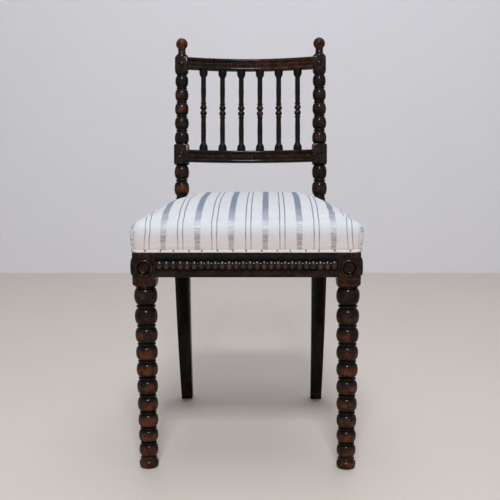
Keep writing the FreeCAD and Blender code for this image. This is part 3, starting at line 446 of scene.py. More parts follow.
def striped_linen():
    """Pale linen with pairs of dark blue lines between grey blue bands. Its stripes fade pale along the front
    edge, and its upright sides carry painted warm floor bounce and shade.
    """
    material, place = new_material("striped_linen")
    cloth = node(place.tree, "UVMap", uv_map="cloth")
    flat = node(place.tree, "CombineXYZ", {0: cloth.part(0), 1: cloth.part(1)})
    paled, painted_floor_bounce = place.attribute("paled"), place.attribute("painted_floor_bounce")
    across = cloth.part(0) + (flat.noise(22.0, 2.0) - 0.5) * STRIPE_DRIFT
    turns = (across - STRIPE_START).maths("DIVIDE", STRIPE_REPEAT)
    phase = (turns + 0.5).maths("FRACT") - 0.5
    distance = phase.maths("ABSOLUTE") * STRIPE_REPEAT

    def threads(across_scale, along_scale):
        return flat.scaled(across_scale, along_scale, 1.0).noise(1.0, 2.0, 0.6)

    warp_slub = threads(900.0, 26.0)
    weft_slub = threads(26.0, 900.0)
    dashes = threads(45.0, 360.0).ramp(0.42, 0.58)
    shade = weft_slub * 0.6 + warp_slub * 0.4
    fleck = shade + flat.noise(14.0, 3.0) * 0.3
    # Painted warm floor bounce and shade greys the ground on the upright sides
    ground = (painted_floor_bounce * 0.8).mix(fleck.ramp(0.4, 1.0).mix(CLOTH_SHADE, CLOTH), PAINTED_BOUNCE_CLOTH)

    hair = stripe(distance, HAIR_PLACES[0], HAIR_WIDTH, HAIR_EDGE)
    for hair_place in HAIR_PLACES[1:]:
        hair = hair.larger(stripe(distance, hair_place, HAIR_WIDTH, HAIR_EDGE))
    hair *= weft_slub.ramp(0.25, 0.7)
    line = stripe(distance, LINE_APART / 2, LINE_WIDTH, LINE_EDGE) * (weft_slub * 0.4 + 0.66)
    line = (line * (1.0 - paled.larger(painted_floor_bounce) * 0.35)).clamped()
    gaps = paled.larger(painted_floor_bounce * 0.55) * 0.85
    inner = stripe(distance, STRIPE_REPEAT / 2, BAND_WIDTH * 0.8, BAND_EDGE)
    band = stripe(distance, STRIPE_REPEAT / 2, BAND_WIDTH, BAND_EDGE) * (1.0 - gaps * (1.0 - dashes))
    band *= 1.0 - painted_floor_bounce * (1.0 - inner)
    band *= weft_slub * 0.4 + 0.7
    band = (band * (1.0 - paled * 0.72)).clamped()

    tinted = (hair * 0.5).mix(ground, HAIR_BEIGE)
    tinted = band.mix(tinted, (painted_floor_bounce * 0.85).mix(BAND_BLUE, PAINTED_BOUNCE_BAND))
    tinted = line.mix(tinted, (painted_floor_bounce * 0.5).mix(LINE_BLUE, PAINTED_BOUNCE_BAND))
    height = weave(cloth, THREAD) * 0.5 + shade
    return finished(material, tinted, 0.88, height, 0.35, Sheen_Weight=0.25, Sheen_Roughness=0.5)


def plain_linen():
    """The unstriped folded edge of the same cloth."""
    material, place = new_material("plain_linen")
    threads = place.scaled(1.0, 1.0, 3.0).noise(420.0, 3.0)
    return finished(material, threads.ramp(0.3, 0.7).mix(CLOTH_SHADE, HEM_CLOTH), 0.9, threads)


WOOD = ebonised_wood()
WOOD_ACROSS = ebonised_wood("ebonised_wood_across", (0.12, 1.0, 1.0))
WOOD_ALONG = ebonised_wood("ebonised_wood_along", (1.0, 0.12, 1.0))
WAXED_WOOD = ebonised_wood("ebonised_wood_waxed", (0.12, 1.0, 1.0), 0.65)
RAW_WOOD = raw_wood()
SCREW_STEEL = dull_metal("screw_steel", colour(120, 118, 114), colour(84, 80, 76), 0.42)
TACK_BRASS = dull_metal("tack_brass", colour(150, 130, 78), colour(92, 88, 54), 0.38)
JUTE = coarse_cloth("jute", colour(140, 116, 80), colour(190, 164, 124), 0.0022)
HESSIAN = coarse_cloth("hessian", colour(92, 70, 44), colour(138, 110, 74), 0.0015)
STRIPED = striped_linen()
EDGE_CLOTH = plain_linen()


# Front legs
LEG_WIDTHS = even_steps(0.0350, 0.0421, len(LEG_SHARES))
LEG_WEAR = {
    "left": (0.95, 1.1, 1.1, 1.0, 0.95, 0.95, 0.85, 0.72, 0.55, 0.45),
    "right": (0.8, 0.9, 0.85, 0.85, 0.8, 0.8, 0.7, 0.6, 0.5, 0.35),
}
FOOT_ROWS = millimetres(
    (0, 13.8), (1.2, 15.5), (3.5, 17), (7.5, 17.7), (11.2, 17.2), (13.6, 15.6), (14.6, 13.9), (15.8, 13.7),
    (16.3, 15), (17.8, 15.3), (19, 14.9), (19.6, 13.6),
)
# The turned shoulder under the block: heights from the block's low end, and radii
SHOULDER_ROWS = millimetres(
    (-3.4, 15.6), (-2.8, 17.6), (-1.6, 18.6), (-0.8, 18.2), (0, 19.8), (1.2, 21.6), (2.6, 24.6), (4, 27.2),
    (5.8, 29.4),
)
# Levels of the lines scratched round the block, and one line's section: height and depth
SCRATCHED_LINES = (0.3452, 0.3478, 0.3504)
SCRATCH_ROWS = millimetres((-0.5, 0), (0, 0.6), (0.5, 0))
# The block's eased top: distance down from the show wood and inwards
BLOCK_TOP_ROWS = millimetres((10, 0), (3, 0), (0.6, 0), (0, 0.6))
FOOT_WEAR = 0.7
LEG_BLOCK_WEAR = 0.5
BLOCK_TOP_WEAR = [0.2, 0.5, 0.75, 0.85]
BLOCK_DIRECTIONS = square_directions(0.045)


def front_leg(side):
    def place(across, along, up):
        return Vector((SIGNS[side] * LEG_OUT + across, LEG_Y + along, up))

    bobbins, bobbin_wear = bobbin_rows(0.0, BLOCK_LOW, LEG_SHARES, LEG_WIDTHS, LEG_WEAR[side])
    block = [(BLOCK_LOW + up, radius, BLOCK_HALF) for up, radius in SHOULDER_ROWS]
    for line in SCRATCHED_LINES:
        block += [(line + up, UNTURNED, BLOCK_HALF - deep) for up, deep in SCRATCH_ROWS]
    wear = [FOOT_WEAR] * len(FOOT_ROWS) + bobbin_wear + [LEG_BLOCK_WEAR] * len(block) + BLOCK_TOP_WEAR
    block += [(SHOW_TOP - down, UNTURNED, BLOCK_HALF - inwards) for down, inwards in BLOCK_TOP_ROWS]
    skin = Skin().turn([*FOOT_ROWS, *bobbins, *block], BLOCK_DIRECTIONS, place, wear, front=True)
    leg = skin.piece(f"turned_front_leg_{side}", WOOD)
    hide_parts(f"front_leg_{side}")


# Roundels: height above the block's face and radius. The rim and the hub are rubbed
ROUNDEL_ROWS = millimetres(
    (0, 16.5), (1.2, 16.6), (2.6, 16.2), (3.7, 15.2), (4.1, 14), (3.7, 12.8), (2.6, 11.9), (1.3, 11.4),
    (0.8, 10.6), (1.1, 9.9), (2.2, 9.4), (3.1, 8.4), (3.3, 7.2), (2.8, 6.1), (1.9, 5.4), (1.3, 4.4),
    (1.4, 3), (1.8, 1.5), (1.9, 0.4),
)
ROUNDEL_WEAR = [0.08] * 3 + [0.5] * 3 + [0.08] * 5 + [0.3] * 8


def roundel(face, side):
    node_name = f"{face}_roundel_{side}"
    sign = SIGNS[side]
    centre = middle(node_name)

    def place(across, along, up):
        if face == "front":
            return Vector((centre.x + across, LEG_Y - BLOCK_HALF - up, centre.z + along))
        return Vector((sign * (LEG_OUT + BLOCK_HALF + up), LEG_Y + sign * across, centre.z + along))

    skin = Skin().turn(ROUNDEL_ROWS, round_directions(48), place, ROUNDEL_WEAR)
    piece = skin.piece(f"turned_{node_name}", WOOD)
    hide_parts(node_name)


# Front rail
REED_PITCH = 0.0039
REED_COUNT = 3
REED_POINTS = 7
REED_GAP = 0.0002
REED_LIFT = 0.0001
REED_DEEP = 0.0013
REED_PROUD = 0.0008
RAIL_EASE = 0.0008
LOW_EDGE_DEEP = 0.0018
INTO_BLOCK = 0.0002
CHANNEL_HIGH = 0.3884
CHANNEL_LOW = 0.3679
CHANNEL_DEEP = 0.0040
PLAIN_BAND_WEAR = 0.08
REED_WEAR = 0.3
# The band above the channel and the channel: depth behind the face and height
RAIL_FACE_ROWS = (
    (0.0006, SHOW_TOP + 0.002), (0.0, SHOW_TOP - 0.0008), (0.0, CHANNEL_HIGH + 0.0010),
    (0.0005, CHANNEL_HIGH + 0.0002), (CHANNEL_DEEP, CHANNEL_HIGH), (CHANNEL_DEEP, CHANNEL_LOW),
    (0.0006, CHANNEL_LOW - 0.0002), (0.0002, CHANNEL_LOW - 0.0007),
)


def front_rail():
    """A bar with a plain band, a channel for the beads and three reeds under it."""
    low = RAIL_LOW.z
    thick = RAIL_HIGH.y - RAIL_LOW.y
    outline = list(RAIL_FACE_ROWS)
    for reed in range(REED_COUNT):
        centre = low + REED_LIFT + REED_PITCH * (REED_COUNT - reed - 0.5)
        for angle in even_steps(0.0, pi, REED_POINTS):
            level = centre + (REED_PITCH / 2 - REED_GAP) * cos(angle)
            outline.append((REED_DEEP - REED_PROUD * sin(angle), level))
    outline += [(LOW_EDGE_DEEP, low), (thick - RAIL_EASE, low), (thick, low + RAIL_EASE)]
    outline += [(thick, RAIL_HIGH.z), (RAIL_FACE_ROWS[0][0], RAIL_HIGH.z)]
    reach = LEG_OUT - BLOCK_HALF + INTO_BLOCK
    rings = [
        [Vector((across, RAIL_LOW.y + deep, up)) for deep, up in reversed(outline)]
        for across in even_steps(-reach, reach, 25)
    ]
    wear = [[PLAIN_BAND_WEAR if up > CHANNEL_LOW else REED_WEAR for _, up in reversed(outline)]] * len(rings)
    rail = Skin().add(rings, wear).piece("moulded_front_rail", WOOD_ACROSS)
    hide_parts("front_rail")


BEAD_COUNT = 26
BEAD_SIDES = 16
BEAD_POINTS = 9
BEAD_SEED = 4
BEAD_WEARS = (0.5, 0.75, 0.95, 1.0, 1.1)
COLLAR_WEAR = 0.1
# The thin collar before each bead: shares of the pitch and of the bead's radius
COLLAR_SHARES = ((0.0, 0.72), (0.05, 0.72), (0.06, 0.8), (0.1, 0.8), (0.12, 0.7))


def front_beads():
    """The split turning in the rail's channel: plump beads with a thin collar between them. Only the lower
    half of each bead is brown: wear, and partly painted reflection of a brown floor.
    """
    low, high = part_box("front_bobbin_moulding")
    radius = (high.z - low.z) / 2 - 0.0002
    pitch = (high.x - low.x) / BEAD_COUNT
    generator = random.Random(BEAD_SEED)
    rows = []
    worn_rows = []
    for bead in range(BEAD_COUNT):
        start = low.x + pitch * bead
        worn = generator.choice(BEAD_WEARS)
        rows += [(start + pitch * share, radius * radius_share) for share, radius_share in COLLAR_SHARES]
        worn_rows += [COLLAR_WEAR] * len(COLLAR_SHARES)
        for angle in even_steps(0.0, pi, BEAD_POINTS):
            level = -cos(angle)
            swell = (1 - abs(level) ** 2.2) ** 0.6
            rows.append((start + pitch * (0.56 + 0.43 * level), radius * (0.72 + 0.28 * swell)))
            worn_rows.append(worn * smooth(swell, 0.5, 1.0))
    angles = even_steps(0.0, pi, BEAD_SIDES + 1)
    axis = Vector((0.0, high.y - 0.0001, (low.z + high.z) / 2))
    rings = [
        [axis + Vector((across, -reach * sin(angle), reach * cos(angle))) for angle in angles]
        for across, reach in rows
    ]
    # Brown on the lower half of each bead only: wear, and partly painted floor reflection
    lower = [smooth(angle / pi, 0.35, 0.6) for angle in angles]
    wear = [[worn * share for share in lower] for worn in worn_rows]
    beads = Skin().add(rings, wear).piece("turned_front_beads", WAXED_WOOD)
    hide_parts("front_bobbin_moulding")


# Rear posts
POST_WIDTHS = even_steps(0.0326, 0.0286, len(LOW_POST_SHARES) + len(HIGH_POST_SHARES))
POST_WEAR = {
    "left": (1.0, 0.6, 0.25, 0.5, 0.75, 0.6, 0.15),
    "right": (0.5, 0.25, 0.65, 0.55, 0.5, 0.45, 0.15),
}
POST_DIRECTIONS = square_directions(0.06)
SAWN_LEVELS = [0.0, 0.0008, *even_steps(0.012, KNEE_UP, 22), 0.375, BEND_UP - 0.003]
SAWN_WEAR = 0.16
TOE_WEAR = 0.45
TOE_WORN_TO = 0.02
FOOT_EASE_SHARE = 0.96
POST_NECK = POST_WIDTHS[0] * NECK_SHARE / 2
# From the bend to the first bobbin: the square stub, its rounded end and a collar
STUB_ROWS = [
    (0.004, UNTURNED, POST_HALF), (STUB_UP - 0.0138, POST_HALF * sqrt(2), POST_HALF),
    (STUB_UP - 0.0115, 0.019, POST_HALF), (STUB_UP - 0.0095, 0.0155, POST_HALF),
    (STUB_UP - 0.0088, POST_NECK + 0.001), (STUB_UP - 0.001, POST_NECK + 0.001),
    (STUB_UP - 0.0004, POST_NECK), (STUB_UP + 0.001, POST_NECK),
]
STUB_WEAR = [0.16, 0.3, 0.3, 0.2, 0.1, 0.1, 0.1, 0.1]
# The turned end of a block: distance from the end, and share of the way from the neck to the square's corner
BLOCK_END_SHARES = ((0.0, 0.35), (0.0008, 0.55), (0.0020, 0.78), (0.0036, 1.0))
BLOCK_WEAR = 0.3
CREST_NECK = 0.0105
# The finial's vase: heights above the crest block, and radii
VASE_ROWS = millimetres(
    (0.4, 12.8), (1.4, 13.6), (2.8, 13.4), (4, 12), (5.8, 10), (8.2, 8.8), (11, 8.2), (14, 8), (15.8, 8.4),
)
BALL_RADIUS = 0.0129
BALL_UP = FINIAL_UP + (0.016 + BALL_RADIUS)
BALL_ANGLES = [radians(degrees) for degrees in even_steps(-50, 89, 14)]
BALL_WEAR = {"left": 1.05, "right": 0.7}


def raked(across, along, up, post_out=0.0):
    """A point of the raked back, in the part's frame."""
    back = POST_Y + along * cos(RAKE) + up * sin(RAKE)
    return Vector((post_out + across, back, BEND_UP - along * sin(RAKE) + up * cos(RAKE)))


def sawn_edge(knee, toe, up):
    """Where an edge of the sawn leg lies at a height: upright above the knee and bowed out to the toe."""
    bow = ((toe - knee) ** 2 + KNEE_UP**2) / (2 * (toe - knee))
    return knee + bow - sqrt(bow**2 - max(0.0, KNEE_UP - up) ** 2)


def sawn_section(sign, up):
    """One level section of the sawn leg under the bend."""
    toe_front = POST_Y + SPLAY_OUT - TOE_DEPTH / 2
    front = sawn_edge(POST_Y - POST_HALF, toe_front, up)
    back = sawn_edge(POST_Y + POST_HALF, toe_front + TOE_DEPTH, up)
    drop = max(0.0, 1 - up / KNEE_UP)
    inner = POST_OUT - POST_HALF + TOE_LEAN * drop
    outer = inner + 2 * POST_HALF + (TOE_WIDTH - 2 * POST_HALF) * drop
    centre = Vector((sign * (inner + outer) / 2, (front + back) / 2, up))
    half_x = (outer - inner) / 2
    half_y = (back - front) / 2
    return [
        centre + Vector((east * reach * half_x, north * reach * half_y, 0.0))
        for east, north, reach in POST_DIRECTIONS
    ]


def block_rows(low, high, half, neck_low, neck_high):
    """Rows and wear of a square block whose ends are turned down towards the neck on each side."""
    corner = half * sqrt(2)
    rows = [(low + up, neck_low + (corner - neck_low) * share, half) for up, share in BLOCK_END_SHARES]
    ends = reversed(BLOCK_END_SHARES)
    rows += [(high - up, neck_high + (corner - neck_high) * share, half) for up, share in ends]
    return rows, [BLOCK_WEAR] * len(rows)


def finial_rows(side):
    vase = [(FINIAL_UP + up, radius) for up, radius in VASE_ROWS]
    ball = [(BALL_UP + BALL_RADIUS * sin(angle), BALL_RADIUS * cos(angle)) for angle in BALL_ANGLES]
    return vase + ball, [BLOCK_WEAR] * len(vase) + [BALL_WEAR[side]] * len(ball)


def rear_post(side):
    """One piece of wood from the sawn foot to the finial."""
    sign = SIGNS[side]

    def place(across, along, up):
        return raked(across, along, up, sign * POST_OUT)

    sawn = [sawn_section(sign, up) for up in SAWN_LEVELS]
    foot = sum(sawn[0], Vector()) / len(sawn[0])
    sawn[0] = [foot + (point - foot) * FOOT_EASE_SHARE for point in sawn[0]]
    wear = [TOE_WEAR if up < TOE_WORN_TO else SAWN_WEAR for up in SAWN_LEVELS]
    low_count = len(LOW_POST_SHARES)
    high_widths = POST_WIDTHS[low_count:]
    high_wear = POST_WEAR[side][low_count:]
    rows = []
    for turned, worn in (
        (STUB_ROWS, STUB_WEAR),
        bobbin_rows(STUB_UP, LOW_TURNING, LOW_POST_SHARES, POST_WIDTHS, POST_WEAR[side]),
        block_rows(LOWER_BLOCK_UP, HIGH_TURNING_UP, LOWER_BLOCK_HALF, POST_NECK, POST_NECK),
        bobbin_rows(HIGH_TURNING_UP, HIGH_TURNING, HIGH_POST_SHARES, high_widths, high_wear),
        block_rows(CREST_BLOCK_UP, FINIAL_UP, CREST_BLOCK_HALF, CREST_NECK, VASE_ROWS[0][1]),
        finial_rows(side),
    ):
        rows += turned
        wear += worn
    skin = Skin().turn(rows, POST_DIRECTIONS, place, wear, below=sawn, front=True)
    post = skin.piece(f"turned_rear_post_{side}", WOOD)
    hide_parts(f"rear_post_{side}")


# Back rails
PEARL_PITCH = 0.0071
PEARL_RADIUS = 0.0023
PEARL_ANGLES = [pi / 2 * row / 3.4 for row in range(4)]
PEARL_ROWS = [(PEARL_RADIUS * sin(angle), PEARL_RADIUS * cos(angle)) for angle in PEARL_ANGLES]
PEARL_WEAR = (0.3, 0.6, 1.0, 1.0)
# The reed along each edge of a rail: height from the edge and depth behind the rail's front
EDGE_REED_ROWS = millimetres(
    (0, 0.2), (0.6, -0.8), (1.8, -1.5), (3.4, -1.6), (5, -1.4), (6.2, -0.7), (6.8, 0.3), (7.3, 0.9),
)
# The fillet beside the pearls: distance from their middle and depth
FILLET_ROWS = millimetres((4.2, 0.9), (3.8, -0.2), (2.9, -0.2), (2.6, 1.2))
RAIL_BACK_EASE = 0.0012
RAIL_WEAR = 0.22
INTO_POST = 0.0003
# Name, level, height, half width, the pearls' place as a share of the height, and the right half's extra wear
BACK_RAILS = (
    ("lower_back_rail", LOWER_RAIL_UP, LOWER_RAIL_HIGH, LOWER_HALF, 0.5, 0.1),
    ("crest_rail", CREST_RAIL_UP, CREST_RAIL_HIGH, CREST_HALF, 0.54, 0.32),
)


def bow_y(across, offset=0.0):
    return BOW_MIDDLE + sqrt((BOW_RADIUS + offset) ** 2 - across**2)


def back_rail(node_name, up, high, half, pearl_share, high_wear):
    """A bowed rail: a rounded reed along each edge, and a fillet between them with a row of pearls."""
    pearls_up = pearl_share * high
    profile = list(EDGE_REED_ROWS)
    profile += [(pearls_up - level, deep) for level, deep in FILLET_ROWS]
    profile += [(pearls_up + level, deep) for level, deep in reversed(FILLET_ROWS)]
    profile += [(high - level, deep) for level, deep in reversed(EDGE_REED_ROWS)]
    thick = 2 * BACK_RAIL_HALF
    profile += [(high, thick - RAIL_BACK_EASE), (high - RAIL_BACK_EASE, thick)]
    profile += [(RAIL_BACK_EASE, thick), (0.0, thick - RAIL_BACK_EASE)]
    reach = half + INTO_POST
    places = even_steps(-reach, reach, 49)
    rings = [
        [raked(across, bow_y(across, deep - BACK_RAIL_HALF), up + level) for level, deep in reversed(profile)]
        for across in places
    ]
    skin = Skin().add(rings, [RAIL_WEAR + high_wear * smooth(across, -0.03, 0.03) for across in places])

    count = int(2 * half / PEARL_PITCH) - 1
    generator = random.Random(len(node_name))
    for index in range(count):
        pearl_x = (index - (count - 1) / 2) * PEARL_PITCH
        pearl_y = bow_y(pearl_x, 0.0010 - BACK_RAIL_HALF)

        def place(across, along, out):
            return raked(pearl_x + across, pearl_y - out, up + pearls_up - along)

        worn = generator.uniform(0.6, 1.3)
        wear = [worn * share for share in PEARL_WEAR]
        skin.turn(PEARL_ROWS, round_directions(10), place, wear, low_cap=False)
    rail = skin.piece(f"carved_{node_name}", WOOD_ACROSS)
    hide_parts(node_name)


# Spindles: distance from the middle and radius, for the upper half
SPINDLE_ROWS = millimetres(
    (0, 4.6), (0.9, 4.6), (1.3, 5.5), (2.4, 6.5), (4.2, 7.1), (6, 7.3), (7.8, 7.1), (9.5, 6.4), (10.5, 5.5),
    (10.9, 4.8), (12.2, 4.8), (12.5, 5.8), (14, 6.5), (15.7, 6), (16.2, 5.2), (20, 5.2), (42, 5.6),
    (64, 5.4), (70, 5.4), (71.7, 5.8), (73.8, 6.8), (75.7, 8), (77.4, 8.8), (78.6, 9.1), (79, 8.7),
    (79.7, 8.7), (80.1, 9.3), (87.3, 9.3),
)
SPINDLE_COUNT = 6
SPINDLE_WEAR = (0.3, 0.5, 0.45, 1.0, 0.55, 0.5)
SPINDLE_SPACING = 0.0412
SPINDLE_BEADS_END = 0.02


def spindle(index):
    out = (index - (SPINDLE_COUNT - 1) / 2) * SPINDLE_SPACING
    low = LOWER_RAIL_UP + LOWER_RAIL_HIGH
    half = (CREST_RAIL_UP - low) / 2
    stretch = half / SPINDLE_ROWS[-1][0]

    def place(across, along, up):
        return raked(out + across, bow_y(out) + along, low + half + up)

    upper = [(up * stretch, radius) for up, radius in SPINDLE_ROWS]
    rows = [(-up, radius) for up, radius in reversed(upper[1:])] + upper
    wear = [
        SPINDLE_WEAR[index] * smooth(radius, 0.0055, 0.0068) if abs(up) < SPINDLE_BEADS_END else SAWN_WEAR
        for up, radius in rows
    ]
    skin = Skin().turn(rows, round_directions(28), place, wear, front=True)
    piece = skin.piece(f"turned_spindle_{index + 1}", WOOD)
    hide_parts(f"spindle_{index + 1}")


# Buttons: height above the block and radius
BUTTON_ROWS = millimetres(
    (0, 6.4), (0.8, 6.3), (1.4, 5.7), (1.2, 5), (0.6, 4.6), (0.7, 4), (1.8, 3.5), (2.5, 2.4), (2.7, 1),
    (2.7, 0.2),
)
BUTTON_WEAR = (0.1, 0.2, 0.35, 0.3, 0.05, 0.1, 0.25, 0.3, 0.3, 0.3)


def buttons():
    blocks = (
        (LOWER_BLOCK_UP + LOWER_BLOCK / 2, LOWER_BLOCK_HALF),
        (CREST_BLOCK_UP + CREST_BLOCK / 2, CREST_BLOCK_HALF),
    )
    skin = Skin()
    for sign in SIGNS.values():
        for level, half in blocks:
            def place(across, along, up):
                return raked(across, -half - up, level + along, sign * POST_OUT)
            skin.turn(BUTTON_ROWS, round_directions(24), place, BUTTON_WEAR)
    piece = skin.piece("turned_block_buttons", WOOD)
    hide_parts("block_buttons")


# Seat
SEAT_SLOPE = 0.1056
SEAT_FRONT_HALF = 0.2041
POST_GAP = 0.0004
NOTCH_Y = POST_Y - POST_HALF - POST_GAP
NOTCH_X = POST_OUT - POST_HALF - POST_GAP
NOTCH_SLACK = 0.002
SEAT_STEP = 0.0045
CORNER_RADIUS = 0.016
NOTCH_RADIUS = 0.004
SEAT_CENTRE = Vector((0.0, -0.03))
# The upright side, the rounded edge over it, and the crown
WALL_HIGH = 0.0370
WALL_LEVELS = (0.0, 0.1, 0.22, 0.36, 0.5, 0.64, 0.78, 0.9, 1.0)
SIDE_DEEP = 0.006
EDGE_RISE = 0.018
EDGE_RUN = 0.022
CROWN_RISE = 0.0236
SIDE_RUN, SIDE_POWER = 0.063, 1.8
FRONT_RUN, FRONT_POWER = 0.18, 1.6
BACK_RUN, BACK_POWER = 0.064, 1.9
TOP_RINGS = 34
# The sides stand out over the tacked edge
SIDE_BULGE = 0.0040
FRONT_BULGE = 0.0018
TACKED_IN = 0.0006
# The form starts a little low and swells under pressure
START_LOW = 0.00144
VOXEL = 0.0045
SWELL_FRAMES = 20
SWELL_CAP = 0.005
PIN_HIGH = 0.004
CLOTH_SETTINGS = {
    "quality": 5,
    "mass": 0.3,
    "tension_stiffness": 15,
    "compression_stiffness": 15,
    "shear_stiffness": 5,
    "bending_stiffness": 0.8,
    "use_pressure": True,
    "uniform_pressure_force": 4.0,
    "vertex_group_mass": "pins",
}
TACK_PITCH = 0.0255
TACK_FIRST = 0.0235
TACK_PULL = 0.0007
PLEAT_DEEP = 0.0016
SLACK_DEEP = 0.0006
LUMP_HIGH = 0.0009
UNDER_HIGH = 0.004
UNDER_GAP = 0.0008
RAIL_INSET = 0.0018


def seat_half(along):
    """Half the seat's width at a depth."""
    return SEAT_FRONT_HALF - SEAT_SLOPE * (along - SEAT_FRONT)


def is_notch(point):
    """True where the outline runs round a rear post."""
    return abs(point.x) > NOTCH_X - NOTCH_SLACK and point.y > NOTCH_Y - NOTCH_SLACK


def by_post(places, margin=0.0):
    return (np.abs(places[:, 0]) > NOTCH_X - margin) & (places[:, 1] > NOTCH_Y - margin)


def climb(value, low, run):
    """Rises evenly from 0 at low to 1 a run further on."""
    return np.clip((value - low) / run, 0, 1)


def bell(value, middle_value, reach):
    """1 at the middle value, falling off on both sides of it."""
    return np.exp(-(((value - middle_value) / reach) ** 2))


def rounded_outline(corners, step):
    """Points round a closed outline of (x, y, radius) corners, counterclockwise, about a step apart."""
    arcs = []
    for index, (x, y, radius) in enumerate(corners):
        here = Vector((x, y))
        before = (Vector(corners[index - 1][:2]) - here).normalized()
        after = (Vector(corners[(index + 1) % len(corners)][:2]) - here).normalized()
        half_angle = before.angle(after) / 2
        cut = radius / tan(half_angle)
        centre = here + (before + after).normalized() * (radius / sin(half_angle))
        arcs.append((here + before * cut, here + after * cut, centre, radius))
    points = []
    for index, (start, end, centre, radius) in enumerate(arcs):
        first = start - centre
        last = end - centre
        sweep = atan2(first.cross(last), first.dot(last))
        count = max(4, int(abs(sweep) * radius / step * 1.6))
        points += [centre + Matrix.Rotation(sweep * part / count, 2) @ first for part in range(count)]
        run = arcs[(index + 1) % len(arcs)][0] - end
        count = max(1, int(run.length / step))
        points += [end + run * (part / count) for part in range(count)]
    return points


class Plan:
    """The seat's outline from above: its points, their outward normals and their lengths round it."""

    def __init__(self, points, normals=None):
        runs = [after - before for before, after in zip(points[-1:] + points, points[1:] + points[:1])]
        self.points = points
        self.normals = normals or [Vector((run.y, -run.x)).normalized() for run in runs]
        self.lengths = [0.0]
        for before, after in zip(points, points[1:]):
            self.lengths.append(self.lengths[-1] + (after - before).length)

    def nearest(self, places):
        """Distance inwards, and normal and length round at the outline's nearest point, for each place."""
        outline = np.array([tuple(point) for point in self.points])
        outward = np.array([tuple(normal) for normal in self.normals])
        runs = np.roll(outline, -1, axis=0) - outline
        squares = (runs**2).sum(axis=1)
        depth, facing, along = [], [], []
        for start in range(0, len(places), 2000):
            part = places[start:start + 2000, None, :2]
            shares = np.clip(((part - outline) * runs).sum(axis=2) / squares, 0, 1)
            offsets = part - (outline + runs * shares[:, :, None])
            gaps = (offsets**2).sum(axis=2)
            nearest = gaps.argmin(axis=1)
            rows = np.arange(len(nearest))
            share = shares[rows, nearest][:, None]
            normal = outward[nearest] * (1 - share) + np.roll(outward, -1, axis=0)[nearest] * share
            normal /= np.linalg.norm(normal, axis=1)[:, None]
            sign = -np.sign((offsets[rows, nearest] * normal).sum(axis=1))
            depth.append(np.sqrt(gaps[rows, nearest]) * sign)
            facing.append(normal)
            along.append(np.array(self.lengths)[nearest] + share[:, 0] * np.sqrt(squares)[nearest])
        return np.concatenate(depth), np.concatenate(facing), np.concatenate(along)


def seat_plan():
    right = [
        (SEAT_FRONT_HALF, SEAT_FRONT, CORNER_RADIUS),
        (seat_half(NOTCH_Y), NOTCH_Y, NOTCH_RADIUS),
        (NOTCH_X, NOTCH_Y, NOTCH_RADIUS),
        (NOTCH_X, SEAT_BACK, NOTCH_RADIUS * 1.5),
    ]
    left = [(-x, y, radius) for x, y, radius in reversed(right)]
    return Plan(rounded_outline(right + left, SEAT_STEP))


def run_share(distance, run, power):
    return 1 - (1 - climb(distance, 0, run)) ** power


def crown(across, along):
    """Height of the seat's top before its edges are rounded."""
    side = run_share(seat_half(along) - np.abs(across), SIDE_RUN, SIDE_POWER)
    front = run_share(along - SEAT_FRONT, FRONT_RUN, FRONT_POWER)
    back = run_share(SEAT_BACK - along, BACK_RUN, BACK_POWER)
    return SHOW_TOP + WALL_HIGH + EDGE_RISE + CROWN_RISE * side * front * back


def edge_drop(distance):
    """How far the rounded edge falls below the crown at a distance from the outline."""
    return EDGE_RISE * (1 - np.sqrt(1 - (1 - climb(distance, 0, EDGE_RUN)) ** 2))


def bulge(facing_x):
    """How far the side stands out, by how much it faces sideways."""
    return FRONT_BULGE + (SIDE_BULGE - FRONT_BULGE) * facing_x**2


def arc_across(across, along):
    """Length of cloth over the crown from the seat's middle line, measured across the seat."""
    steps = 24
    total = np.zeros(len(across))
    last_x = np.zeros(len(across))
    last_z = crown(last_x, along)
    for index in range(1, steps + 1):
        x = across * index / steps
        z = crown(x, along)
        total += np.hypot(x - last_x, z - last_z)
        last_x, last_z = x, z
    return np.sign(across) * total


def small_seat(plan):
    """The closed form that the cloth swells from: upright walls, a rounded edge and the crown."""
    rings = []
    for level in WALL_LEVELS:
        share = sin(min(1.0, level / 0.8) * pi / 2)
        ring = []
        for point, normal in zip(plan.points, plan.normals):
            out = -TACKED_IN / 2 if is_notch(point) else (bulge(normal.x) + TACKED_IN) * share - TACKED_IN
            ring.append(Vector((*(point + normal * out), SHOW_TOP + WALL_HIGH * level)))
        rings.append(ring)
    outer = Plan([point.xy for point in rings[-1]], plan.normals)
    for step in range(1, TOP_RINGS + 1):
        size = 1 - (step / (TOP_RINGS + 1)) ** 1.9
        places = np.array([tuple(SEAT_CENTRE + (point - SEAT_CENTRE) * size) for point in outer.points])
        heights = crown(places[:, 0], places[:, 1]) - edge_drop(outer.nearest(places)[0]) - START_LOW
        rings.append([Vector((x, y, z)) for (x, y), z in zip(places, heights)])
    return Skin().add(rings).mesh("seat_start")


def applied(piece):
    """A new mesh with the piece's modifiers applied."""
    graph = bpy.context.evaluated_depsgraph_get()
    return bpy.data.meshes.new_from_object(piece.evaluated_get(graph), depsgraph=graph)


def places_of(mesh):
    flat = np.empty(len(mesh.vertices) * 3)
    mesh.vertices.foreach_get("co", flat)
    return flat.reshape(-1, 3)


def with_modifier(mesh, kind, **settings):
    """The mesh that one modifier makes of a mesh."""
    holder = placed("holder", mesh)
    modifier = holder.modifiers.new("form", kind)
    for key, value in settings.items():
        setattr(modifier, key, value)
    made = applied(holder)
    bpy.data.objects.remove(holder)
    return made


